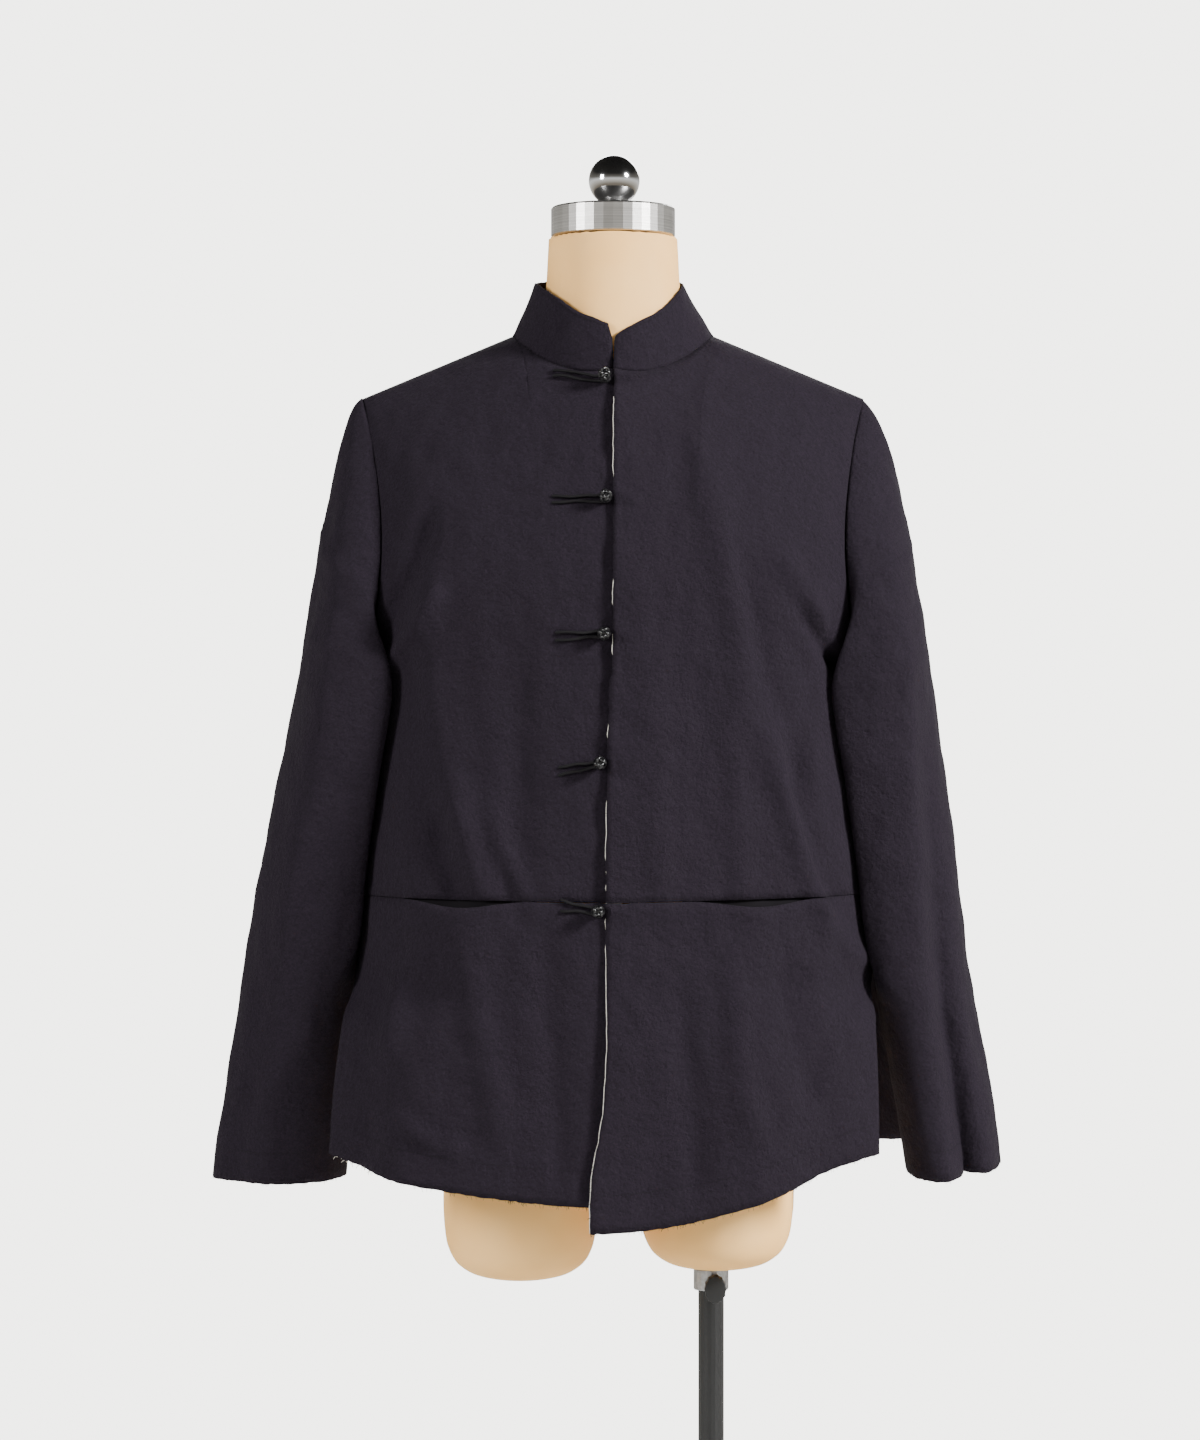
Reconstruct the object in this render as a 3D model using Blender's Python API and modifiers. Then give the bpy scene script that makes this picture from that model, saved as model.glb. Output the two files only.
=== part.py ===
"""A men's tang jacket worn by a limbless dress form on a pole stand, at its real size.

Metres, +Z up. The jacket's front faces -Y and the wearer's left is +X. The origin lies
on the floor under the middle of the neck, in the underside of the round base.
"""

import math

import bmesh
import bpy
from mathutils import Vector

# Cloth and seams
CLOTH = 0.0015            # wall of the jacket's cloth
FACING_CLOTH = 0.0010     # wall of the pale strip behind the left front's edge
SEAM = 0.0003             # room between two pieces that are sewn together
SHOULDER_GAP = 0.0007     # the same on each side of the shoulder's ridge
BACKING_DEPTH = 0.0026    # from a front's cloth to the middle of the pocket bag behind it

# Heights of the jacket
WAIST_SEAM = 0.979
SLIT_TOP = 0.928
UNDERARM = 1.169
CHEST = 1.228
NECK_PIT = 1.427
NECK_BACK = 1.472
NECK_SIDE = 1.460
SHOULDER_FALL = 0.417     # drop of the shoulder line for each metre outwards
BACK_NECK_RISE = 0.62     # the same slope, carried on behind the neck

# Widths and depths of the jacket
NECK_HALF = 0.086         # centre to the top of the shoulder seam
TIP_HALF = 0.2155         # centre to the outer end of the shoulder seam
MIDDLE_Y = -0.004         # the side seams
SHOULDER_Y = 0.005        # the shoulder seams
SQUARENESS = 2.4          # of the body's rounded sections; 2 would be an ellipse
FRONT_FALL = 1.25         # slant of the upper front; 1 would be a quarter ellipse
BACK_FALL = (0.75, 0.9)   # the back is fuller: depth, height
BELOW_CHEST = 0.3         # metres for each unit of `level` below the chest

# The fronts' overlap: the left front lies over the right one
UNDERLAP = 0.012
LAP_RISE = 0.005
LAP_REACH = 0.060
NECK_LAP_RISE = 0.0034
FACING_WIDTH = 0.014
FACING_SHOWS = 0.001

# Pocket mouths in the waist seam, from and to, outwards from the centre
MOUTH_RIGHT = (0.0695, 0.1795)
MOUTH_LEFT = (0.0630, 0.1770)
MOUTH_SAG = 0.0045
MOUTH_GAPE = 0.0025
BAG_ABOVE_SEAM = 0.2      # share of the row above the waist seam
BAG_BOTTOM_ROW = 1.5
BAG_MARGIN = 0.006

# Frog fastenings
CORD = 0.0030
STRANDS = 0.0044          # between the two strands of a loop
KNOT_RADIUS = 0.0056
KNOT_HEIGHT = 0.0104      # knot's middle above the cloth
KNOT_BEFORE_EDGE = 0.0060
EYE_HEIGHT = 0.0037
TAIL = 0.0016

# Grid steps
NECK_STEPS = 5
SHOULDER_STEPS = 6
CAP_STEPS = 9             # rows from the underarm to the shoulder, and half a sleeve round

# Collar
COLLAR_CENTRE = (-0.0035, -0.003)
COLLAR_HALF = (0.0630, 0.0625)
COLLAR_LIFT = 0.0014
COLLAR_SPLIT = 0.0010

# Dress form and stand
FORM_INSET = 0.008
FORM_CHEST_HALF = 0.190
FORM_NECK_INSET = 0.010
NECK_TUBE = ((1.490, 0.0580, 0.0590), (1.520, 0.0565, 0.0575), (1.5447, 0.0552, 0.0560))
CAP_RADIUS = 0.0533
CAP_BOTTOM = 1.5450
CAP_TOP = 1.5703
BALL_RADIUS = 0.0219
BALL_HEIGHT = 1.5935
LEG_RADIUS = (0.0672, 0.0740)
POLE = (0.0843, 0.0, 0.011)
BASE_RADIUS = 0.200
BASE_THICK = 0.010


def table(columns, rows):
    """Named columns from rows, the first column rising."""
    return dict(zip(columns.split(), zip(*rows)))


# Half-widths of the four quarters, depths, and how far round (degrees from the centre)
# each quarter reaches: the side seam is at 90, and the slits open below SLIT_TOP.
BODY = table(
    "z front_right front_left back_right back_left deep_front deep_back "
    "reach_front reach_back_right reach_back_left",
    (
        (0.700, 0.2745, 0.2545, 0.2225, 0.2720, 0.155, 0.134, 59, 75, 80),
        (0.762, 0.2718, 0.2530, 0.2220, 0.2680, 0.153, 0.133, 59, 75, 80),
        (0.815, 0.2654, 0.2505, 0.2195, 0.2520, 0.150, 0.131, 60, 75, 81),
        (0.860, 0.2561, 0.2460, 0.2190, 0.2375, 0.148, 0.129, 61.5, 76, 83),
        (0.880, 0.2464, 0.2395, 0.2190, 0.2310, 0.147, 0.128, 65, 78, 85),
        (0.902, 0.2254, 0.2235, 0.2190, 0.2265, 0.145, 0.127, 76, 84, 87),
        (0.928, 0.2190, 0.2230, 0.2190, 0.2230, 0.143, 0.126, 90, 90, 90),
        (0.975, 0.2160, 0.2190, 0.2160, 0.2190, 0.140, 0.124, 90, 90, 90),
        (1.080, 0.2065, 0.2085, 0.2065, 0.2085, 0.133, 0.120, 90, 90, 90),
        (1.169, 0.2015, 0.2025, 0.2015, 0.2025, 0.128, 0.117, 90, 90, 90),
        (1.228, 0.2190, 0.2190, 0.2190, 0.2190, 0.126, 0.114, 90, 90, 90),
    ),
)

# Soft folds: from one turn and height to another, their half-width (degrees) and height.
FOLDS = table(
    "side front turn_top turn_low z_top z_low spread out",
    (
        (-1, 1, 30, 36, 1.10, 0.72, 7, 0.0070),
        (-1, 1, 52, 50, 1.02, 0.74, 7, -0.0060),
        (-1, 1, 12, 14, 0.95, 0.70, 6, -0.0030),
        (-1, 1, 62, 46, 1.15, 0.98, 6, 0.0040),
        (1, 1, 27, 48, 1.27, 0.99, 6, 0.0050),
        (1, 1, 22, 24, 0.95, 0.70, 7, 0.0060),
        (1, 1, 40, 42, 0.96, 0.74, 7, -0.0060),
        (-1, 0, 16, 20, 1.20, 0.74, 8, 0.0070),
        (-1, 0, 42, 45, 1.10, 0.74, 8, -0.0060),
        (1, 0, 13, 16, 1.15, 0.74, 8, 0.0060),
        (1, 0, 38, 44, 1.12, 0.74, 8, -0.0070),
    ),
)

# The left front's edge, across the centre line, and how far out the armhole lies.
EDGE = table(
    "z x",
    (
        (0.700, -0.0193), (0.743, -0.0190), (0.766, -0.0160), (0.803, -0.0094),
        (0.860, -0.0058), (0.980, -0.0066), (1.146, -0.0040), (1.230, -0.0010),
        (1.430, 0.0005),
    ),
)
ARMHOLE = table(
    "rise x",
    (
        (0.00, 0.2015), (0.10, 0.2025), (0.25, 0.1980), (0.40, 0.1950),
        (0.55, 0.1955), (0.70, 0.1995), (0.85, 0.2060), (1.00, 0.2155),
    ),
)

# Sleeve sections: middle, half-width, half front-to-back, turn, and depth of the crease.
SLEEVE_RIGHT = table(
    "z x y wide deep turn crease",
    (
        (0.739, 0.2860, -0.012, 0.0570, 0.0460, 4, 0.006),
        (0.803, 0.2780, -0.008, 0.0560, 0.0530, 3, 0.005),
        (0.889, 0.2665, -0.002, 0.0540, 0.0600, 2, 0.004),
        (0.975, 0.2560, 0.000, 0.0512, 0.0685, 0, 0.003),
        (1.061, 0.2445, 0.000, 0.0475, 0.0760, 0, 0.003),
        (1.145, 0.2335, 0.000, 0.0415, 0.0850, 0, 0.002),
    ),
)
SLEEVE_LEFT = table(
    "z x y wide deep turn crease",
    (
        (0.739, 0.2939, -0.014, 0.0380, 0.0600, 19, 0.026),
        (0.803, 0.2841, -0.012, 0.0385, 0.0640, 17, 0.024),
        (0.889, 0.2688, -0.008, 0.0400, 0.0690, 14, 0.020),
        (0.975, 0.2570, -0.004, 0.0410, 0.0740, 11, 0.014),
        (1.061, 0.2485, 0.000, 0.0390, 0.0785, 7, 0.008),
        (1.145, 0.2385, 0.000, 0.0372, 0.0830, 2, 0.003),
    ),
)
CUFF = (0.741, 0.7515)    # right, left
CUFF_SLOPE = (0.08, 0.19) # the cuff's front hangs lower than its back
CAP_FOOT = 1.145
HUG = (0.85, 0.85)        # how closely the sleeve's inner side follows the body
HUG_FROM, HUG_OVER = 0.87, 0.14
CREASE_TURN = 48
CREASE_SPREAD = 17
SLEEVE_CLEAR = 0.0042

# Collar's upper edge by turn round the neck from the front.
COLLAR_TOP = table(
    "turn left right",
    (
        (0, 1.4500, 1.4640), (10, 1.4590, 1.4690), (22, 1.4660, 1.4740), (45, 1.4790, 1.4890),
        (70, 1.4960, 1.5010), (90, 1.5040, 1.5045), (135, 1.5120, 1.5120), (180, 1.5150, 1.5150),
    ),
)

# Frog loops from the top: knot height, and the loop's closed end on the right front.
FROGS = table(
    "knot_z end_x end_z spread",
    (
        (1.4150, -0.0470, 1.4180, 0.0026),
        (1.3136, -0.0507, 1.3136, 0.0024),
        (1.2014, -0.0477, 1.1990, 0.0034),
        (1.0940, -0.0448, 1.0877, 0.0036),
        (0.9718, -0.0430, 0.9770, 0.0042),
    ),
)

# The form's trunk below the chest.
TRUNK = table(
    "z half front back",
    (
        (0.785, 0.130, 0.070, 0.080), (0.800, 0.155, 0.086, 0.096), (0.830, 0.168, 0.098, 0.108),
        (0.880, 0.172, 0.104, 0.110), (0.950, 0.166, 0.103, 0.102), (1.050, 0.158, 0.101, 0.094),
        (1.140, 0.176, 0.108, 0.100), (1.228, 0.190, 0.112, 0.104),
    ),
)
LEGS = table("side x foot", ((-1, -0.0796, 0.6500), (1, 0.0890, 0.6587)))


def value(columns, name, at):
    """A named column at a value of the first one, along a smooth curve through the rows."""
    keys = next(iter(columns.values()))
    found = columns[name]
    if at <= keys[0]:
        return found[0]
    if at >= keys[-1]:
        return found[-1]
    i = max(k for k in range(len(keys) - 1) if keys[k] <= at)

    def slope(k):
        low, high = max(k - 1, 0), min(k + 1, len(keys) - 1)
        return (found[high] - found[low]) / (keys[high] - keys[low])

    span = keys[i + 1] - keys[i]
    t = (at - keys[i]) / span
    blend = t * t * (3 - 2 * t)
    start = slope(i) * span * t * (1 - t) ** 2
    end = slope(i + 1) * span * t * t * (t - 1)
    return found[i] * (1 - blend) + found[i + 1] * blend + start + end


def ease(t):
    t = min(max(t, 0.0), 1.0)
    return t * t * (3 - 2 * t)


def power(base, exponent):
    return math.copysign(abs(base) ** exponent, base)


def quarter(side, front):
    return ("front_" if front else "back_") + ("left" if side > 0 else "right")


def half_width(side, front, z):
    return value(BODY, quarter(side, front), z)


def depth(front, z):
    return value(BODY, "deep_front" if front else "deep_back", z)


def reach(side, front, z):
    """How far round a quarter goes: the side seam, or the slit's edge below it."""
    if z >= SLIT_TOP:
        return 90.0
    return value(BODY, "reach_front" if front else "reach_" + quarter(side, front), z)


def turn_of(x, half):
    """The turn round a section at which it is x from the centre line."""
    return math.degrees(math.asin(power(min(max(x / half, -1), 1), SQUARENESS / 2)))


def shoulder_top(x, front):
    """Height of the shoulder line, and of its continuation over the neck."""
    slope = SHOULDER_FALL if front or abs(x) > NECK_HALF else BACK_NECK_RISE
    return NECK_SIDE - slope * (abs(x) - NECK_HALF)


def fold_out(side, front, turn, z):
    """How far the soft folds push the cloth out here."""
    out = 0.0
    for row in zip(*FOLDS.values()):
        fold_side, fold_front, turn_top, turn_low, z_top, z_low, spread, height = row
        if fold_side != side or bool(fold_front) != front or z > z_top:
            continue
        t = (z_top - z) / (z_top - z_low)
        middle = turn_top + (turn_low - turn_top) * min(t, 1)
        fade = math.exp(-((max(t - 1, 0) / 0.2) ** 2))
        out += height * ease(t) * fade * math.exp(-(((turn - middle) / spread) ** 2))
    return out


def body_point(side, front, turn, level):
    """A point of the jacket's body. level is the height from the chest, in units of
    BELOW_CHEST, and from 0 to 1 it climbs from the chest over the shoulder's line."""
    across = power(math.sin(math.radians(turn)), 2 / SQUARENESS)
    along = power(math.cos(math.radians(turn)), 2 / SQUARENESS)
    if level <= 0:
        z = CHEST + level * BELOW_CHEST
        x = half_width(side, front, z) * across
        y = depth(front, z) * along
        push = fold_out(side, front, turn, z)
        stretch = 1 + push / math.hypot(x, y)
        x, y = x * stretch, y * stretch
        return Vector((side * x, MIDDLE_Y + (-y if front else y), z))
    climb = math.radians(90 * (1 - level))
    x = half_width(side, front, CHEST) * across
    chest_y = MIDDLE_Y + depth(front, CHEST) * (-along if front else along)
    fall_y, fall_z = (FRONT_FALL, FRONT_FALL) if front else BACK_FALL
    top = shoulder_top(x, front)
    y = SHOULDER_Y + (chest_y - SHOULDER_Y) * math.sin(climb) ** fall_y
    z = CHEST + (top - CHEST) * max(math.cos(climb), 0) ** fall_z
    push = fold_out(side, front, turn, z)
    return Vector((side * x, y - push if front else y + push, z))


def level_at(x, z, front):
    """The level at which a point x from the centre line is z high."""
    if z <= CHEST:
        return (z - CHEST) / BELOW_CHEST
    share = min((z - CHEST) / (shoulder_top(x, front) - CHEST), 1)
    fall = FRONT_FALL if front else BACK_FALL[1]
    return 1 - math.degrees(math.acos(share ** (1 / fall))) / 90


def out_of(side, front, turn, level):
    """The direction straight out of the cloth."""
    step_turn, step_level = 0.4, 0.004
    here = (body_point(side, front, turn - step_turn, level),
            body_point(side, front, turn + step_turn, level),
            body_point(side, front, turn, level - step_level),
            body_point(side, front, turn, min(level + step_level, 1)))
    normal = (here[1] - here[0]).cross(here[3] - here[2]).normalized()
    outward = here[0] - Vector((0, MIDDLE_Y, here[0].z - 0.05))
    return normal if normal.dot(outward) > 0 else -normal


def lap_rise(x, z):
    """How far the left front stands off the right one near its edge."""
    rise = NECK_LAP_RISE + (LAP_RISE - NECK_LAP_RISE) * ease((NECK_PIT - z) / 0.04)
    return rise * (1 - ease((x - value(EDGE, "x", z)) / LAP_REACH))


def on_body(side, front, x, z, out=0.0):
    """A point on the cloth at x and z, moved out of it."""
    half = half_width(side, front, min(z, CHEST))
    turn, level = turn_of(x * side, half), level_at(x, z, front)
    return body_point(side, front, turn, level) + out * out_of(side, front, turn, level)


def armhole(side, front, rise):
    """Turn and level of the armhole, from the underarm (0) to the shoulder tip (1)."""
    tip = NECK_SIDE - SHOULDER_FALL * (TIP_HALF - NECK_HALF)
    z = UNDERARM + (tip - UNDERARM) * rise
    x = value(ARMHOLE, "x", rise)
    if rise <= 0:
        return 90.0, level_at(x, z, front)
    return turn_of(x, half_width(side, front, min(z, CHEST))), level_at(x, z, front)


def cap_rise(row):
    return (1 - math.cos(math.pi * row / CAP_STEPS)) / 2


def neck_level(x, front):
    """Level of the neckline at x: its lowest at the centre, up to the shoulder seam."""
    middle = 1 - level_at(0, NECK_PIT if front else NECK_BACK, front)
    across = min(abs(x) / NECK_HALF, 1)
    return 1 - middle * math.sqrt(1 - across ** 2)


def spaced(step):
    """Share of the turn at a grid step: close together towards the neck's corner, which
    one step falls on, because the neckline is steepest there."""
    half = value(BODY, "front_left", CHEST)
    across = math.sin(math.pi / 2 * min(step / NECK_STEPS, 1))
    share = turn_of(NECK_HALF * across, half) / turn_of(TIP_HALF, half)
    return share + (1 - share) * max(step - NECK_STEPS, 0) / SHOULDER_STEPS


def inner_x(side, front, z):
    """Where a panel starts: its front edge, or the centre of the back."""
    if not front:
        return 0.0
    edge = value(EDGE, "x", z)
    if side > 0:
        return edge
    return edge + UNDERLAP * ease((NECK_PIT - z) / 0.03) - COLLAR_SPLIT * 0.8


def upper_point(side, front, step, row):
    """A point of a panel above the underarm, row 0 to CAP_STEPS."""
    share = spaced(step)
    reach_here, level_here = armhole(side, front, cap_rise(row))
    bottom = level_at(0, UNDERARM, front)
    climbed = (level_here - bottom) / (1 - bottom)
    z_guess = CHEST + climbed * (NECK_PIT - CHEST)
    start = turn_of(side * inner_x(side, front, z_guess), half_width(side, front, CHEST))
    turn = start + (reach_here - start) * share
    half = half_width(side, front, CHEST)
    top_turn = start + (turn_of(TIP_HALF, half) - start) * share
    top_x = half * power(math.sin(math.radians(top_turn)), 2 / SQUARENESS)
    top = neck_level(top_x, front) if step <= NECK_STEPS else 1.0
    level = bottom + (top - bottom) * climbed
    return turn, level


def side_point(side, front, step, z):
    """Turn and level of a panel below the underarm."""
    half = half_width(side, front, z)
    start = turn_of(side * inner_x(side, front, z), half)
    turn = start + (reach(side, front, z) - start) * spaced(step)
    return turn, (z - CHEST) / BELOW_CHEST


def in_mouth(side, x):
    """0 to 1 across the pocket mouth, highest in its middle."""
    start, end = MOUTH_LEFT if side > 0 else MOUTH_RIGHT
    t = (abs(x) - start) / (end - start)
    return math.sin(math.pi * t) ** 2 if 0 < t < 1 else 0.0


def hem_height(side, front, share):
    """The hem's height at a share of the way from the centre to the slit."""
    if not front:
        return 0.757 + 0.010 * share ** 2
    if side > 0:
        return 0.708 + 0.059 * ease(share * 0.95) ** 0.9
    return 0.729 + 0.038 * share ** 1.4


# ---- Making pieces ----

JACKET = bpy.data.collections.new("tang_jacket_on_form")
CUTTERS = bpy.data.collections.new("cutters")


def clear_scene():
    for obj in list(bpy.data.objects):
        bpy.data.objects.remove(obj)
    for collection in (JACKET, CUTTERS):
        bpy.context.scene.collection.children.link(collection)


def material(name, colour, roughness, metallic=0.0):
    made = bpy.data.materials.new(name)
    made.use_nodes = True
    shader = made.node_tree.nodes["Principled BSDF"]
    shader.inputs["Base Color"].default_value = (*colour, 1)
    shader.inputs["Roughness"].default_value = roughness
    shader.inputs["Metallic"].default_value = metallic
    made.diffuse_color = (*colour, 1)
    return made


def finish(name, mesh, made, collection=JACKET):
    obj = bpy.data.objects.new(name, mesh)
    mesh.materials.append(made)
    collection.objects.link(obj)
    return obj


def object_from(name, bm, made, collection=JACKET):
    mesh = bpy.data.meshes.new(name)
    bm.to_mesh(mesh)
    bm.free()
    return finish(name, mesh, made, collection)


def pull_in(bm, gap):
    """Moves the open edges in by a seam's room."""
    moves = {}
    for vert in bm.verts:
        if not vert.is_boundary:
            continue
        near = [edge.other_vert(vert).co for edge in vert.link_edges if not edge.is_boundary]
        near = near or [edge.other_vert(vert).co for edge in vert.link_edges]
        target = sum(near, Vector()) / len(near)
        moves[vert] = (target - vert.co).normalized() * gap
    for vert, move in moves.items():
        vert.co += move


def cloth_piece(name, across, up, place, made, wall=CLOTH, gap=SEAM / 2, closed=False):
    """A grid of cloth, each point placed by its step across and up, given its wall."""
    bm = bmesh.new()
    bmesh.ops.create_grid(bm, x_segments=across, y_segments=up, size=0.5)
    for vert in bm.verts:
        step_across = round((vert.co.x + 0.5) * across)
        step_up = round((vert.co.y + 0.5) * up)
        vert.co = place(step_across, step_up)
    if closed:
        bmesh.ops.remove_doubles(bm, verts=bm.verts, dist=1e-6)
    pull_in(bm, gap)
    bmesh.ops.recalc_face_normals(bm, faces=bm.faces)
    obj = object_from(name, bm, made)
    solidify = obj.modifiers.new("wall", "SOLIDIFY")
    solidify.thickness = wall
    solidify.offset = 0
    return obj


STEPS = NECK_STEPS + SHOULDER_STEPS
SIDE_ROWS = 5             # waist seam to underarm
SKIRT_ROWS = 6            # hem to waist seam


def lifted(side, point):
    """The left front's points, stood off the right front near its edge."""
    if side > 0:
        point.y -= lap_rise(point.x, point.z)
    return point


def waist(side, step):
    """The waist seam's height, and how far it is from the centre, at a grid step."""
    x = body_point(side, True, *side_point(side, True, step, WAIST_SEAM)).x
    return WAIST_SEAM + 0.004 * min(abs(x) / 0.2, 1) * (1 if side > 0 else 0.7), x


def upper_front(side, step, row):
    if row < SIDE_ROWS:
        low, _ = waist(side, step)
        z = low + (UNDERARM - low) * row / SIDE_ROWS
        turn, level = side_point(side, True, step, z)
    else:
        turn, level = upper_point(side, True, step, row - SIDE_ROWS)
    point = body_point(side, True, turn, level)
    if row == SIDE_ROWS + CAP_STEPS and step >= NECK_STEPS:
        point.y -= SHOULDER_GAP
    return lifted(side, point)


def lower_front(side, step, row, gaping=True):
    share = spaced(step)
    foot = hem_height(side, True, share)
    seam, seam_x = waist(side, step)
    mouth = in_mouth(side, seam_x) if gaping else 0.0
    top = seam - SEAM - MOUTH_SAG * mouth
    climbed = row / SKIRT_ROWS
    z = foot + (top - foot) * climbed
    turn, level = side_point(side, True, step, z)
    gape = MOUTH_GAPE * mouth * ease((climbed - 0.6) / 0.4)
    point = body_point(side, True, turn, level) + gape * out_of(side, True, turn, level)
    return lifted(side, point)


def back_point(step, row):
    side = 1 if step >= STEPS else -1
    step = abs(step - STEPS)
    if row <= SKIRT_ROWS + SIDE_ROWS:
        foot = hem_height(side, False, spaced(step))
        rise = row / (SKIRT_ROWS + SIDE_ROWS)
        turn, level = side_point(side, False, step, foot + (UNDERARM - foot) * rise)
    else:
        turn, level = upper_point(side, False, step, row - SKIRT_ROWS - SIDE_ROWS)
    point = body_point(side, False, turn, level)
    if row == SKIRT_ROWS + SIDE_ROWS + CAP_STEPS and step >= NECK_STEPS:
        point.y += SHOULDER_GAP
    return point


def front_at(side, step, row):
    """The point of a whole front, between its grid points too, and out of it there.
    Rows count up from the hem; the waist seam is row SKIRT_ROWS."""
    def at(step, row):
        if row <= SKIRT_ROWS:
            return lower_front(side, step, row, gaping=False)
        return upper_front(side, step, row - SKIRT_ROWS)

    i, k = min(int(step), STEPS - 1), min(int(row), SKIRT_ROWS + SIDE_ROWS + CAP_STEPS - 1)
    low, high = at(i, k), at(i, k + 1)
    low_next, high_next = at(i + 1, k), at(i + 1, k + 1)
    left, right = low.lerp(high, row - k), low_next.lerp(high_next, row - k)
    normal = (right - left).cross(high - low + high_next - low_next).normalized()
    return left.lerp(right, step - i), normal * side


def step_at(side, x):
    """The grid step, in parts of a step, at which the waist seam is x from the centre."""
    found = [abs(waist(side, step)[1]) for step in range(STEPS + 1)]
    i = max(k for k in range(STEPS) if found[k] <= x or k == 0)
    return i + (x - found[i]) / (found[i + 1] - found[i])


def bag_grid(side):
    """The steps and rows of a pocket bag: those of the front it hangs behind."""
    start, end = MOUTH_LEFT if side > 0 else MOUTH_RIGHT
    first, last = step_at(side, start - BAG_MARGIN), step_at(side, end + BAG_MARGIN)
    steps = [first, *range(math.ceil(first), math.floor(last) + 1), last]
    rows = [BAG_BOTTOM_ROW, *range(math.ceil(BAG_BOTTOM_ROW), SKIRT_ROWS + 1),
            SKIRT_ROWS + BAG_ABOVE_SEAM]
    return steps, rows


def pocket_bag(side, grid, step, row):
    steps, rows = grid
    point, normal = front_at(side, steps[step], rows[row])
    return point - normal * BACKING_DEPTH


FACING_TOP = SKIRT_ROWS + SIDE_ROWS + CAP_STEPS - 1


def facing_point(step, row):
    """The pale strip behind the left front's edge, from where it shows inwards."""
    edge, normal = front_at(1, 0, row + 0.02 if row == 0 else row)
    inner, _ = front_at(1, 1, row + 0.02 if row == 0 else row)
    across = (inner - edge).normalized()
    behind = (CLOTH + FACING_CLOTH) / 2 + 1.6 * SEAM
    return edge + across * (step * FACING_WIDTH / 2 - FACING_SHOWS) - normal * behind


# ---- Sleeves ----

def section_point(side, columns, turn, z):
    """A point round a sleeve: turn 0 is outermost, 90 the front, 180 next to the body."""
    wide, deep = value(columns, "wide", z), value(columns, "deep", z)
    twist = math.radians(value(columns, "turn", z))
    angle = math.radians(turn)
    off = (turn - CREASE_TURN + 180) % 360 - 180
    crease = value(columns, "crease", z) * math.exp(-((off / CREASE_SPREAD) ** 2))
    shrink = 1 - crease / math.hypot(wide * math.cos(angle), deep * math.sin(angle))
    outward, forward = wide * math.cos(angle) * shrink, deep * math.sin(angle) * shrink
    x = value(columns, "x", z) + outward * math.cos(twist) - forward * math.sin(twist)
    y = value(columns, "y", z) - outward * math.sin(twist) - forward * math.cos(twist)
    return Vector((side * x, y, z))


def body_beside(side, y, z):
    """How far out the body's cloth is at y and z, or None where there is none."""
    off = y - MIDDLE_Y
    front = off < 0
    deep = depth(front, min(z, CHEST))
    if z > UNDERARM or abs(off) >= deep:
        return None
    half = half_width(side, front, z)
    if z < SLIT_TOP:
        turn = math.degrees(math.acos(min(abs(off) / deep, 1) ** (SQUARENESS / 2)))
        if turn > reach(side, front, z) + 4:
            if z < SLIT_TOP - 0.045:
                return None
            half = half_width(side, front, SLIT_TOP)
    return half * (1 - (abs(off) / deep) ** SQUARENESS) ** (1 / SQUARENESS)


def by_the_body(side, turn, point):
    """Lays a sleeve's inner side along the body, and keeps all of it clear of the cloth."""
    beside = body_beside(side, point.y, point.z)
    if beside is None:
        return point
    nearest, x = beside + SLEEVE_CLEAR, abs(point.x)
    inner = ease((0.35 - math.cos(math.radians(turn))) / 0.8)
    hug = HUG[side > 0] * inner * ease((point.z - HUG_FROM) / HUG_OVER)
    point.x = side * max(x + (nearest - x) * hug, nearest)
    return point


TUBE_ROWS = 8
HEAD_ROWS = 7


def sleeve_point(side, columns, step, row):
    """The sleeve from its cuff (row 0) up the tube, then over the cap to the armhole."""
    turn = 180 + 360 * step / (2 * CAP_STEPS)
    cosine, sine = math.cos(math.radians(turn)), math.sin(math.radians(turn))
    if row <= TUBE_ROWS:
        cuff = CUFF[side > 0]
        z = cuff + (CAP_FOOT - cuff) * row / TUBE_ROWS
        point = section_point(side, columns, turn, z)
        tilt = 1 - row / TUBE_ROWS
        point.z += CUFF_SLOPE[side > 0] * (point.y - value(columns, "y", z)) * tilt
        return by_the_body(side, turn, point)
    foot = by_the_body(side, turn, section_point(side, columns, turn, CAP_FOOT))
    below = section_point(side, columns, turn, CAP_FOOT - 0.02)
    front = sine > 0
    top = body_point(side, front, *armhole(side, front, (1 + cosine) / 2))
    top.x += side * (0.0008 + (SLEEVE_CLEAR - 0.0008) * (1 - cosine) / 2)
    leave = Vector((side * 0.9 * math.sqrt(max((1 + cosine) / 2, 0)), -0.45 * sine,
                    -0.43 - 0.57 * (1 - cosine) / 2)).normalized()
    arrive = (foot - by_the_body(side, turn, below)).normalized()
    span = (top - foot).length
    start_handle = top + leave * span * (0.30 - 0.20 * max(cosine, 0))
    end_handle = foot + arrive * span * (0.36 + 0.10 * max(cosine, 0))
    t = (row - TUBE_ROWS) / HEAD_ROWS
    return (foot * (1 - t) ** 3 + end_handle * 3 * t * (1 - t) ** 2
            + start_handle * 3 * t * t * (1 - t) + top * t ** 3)


# ---- Collar ----

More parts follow.
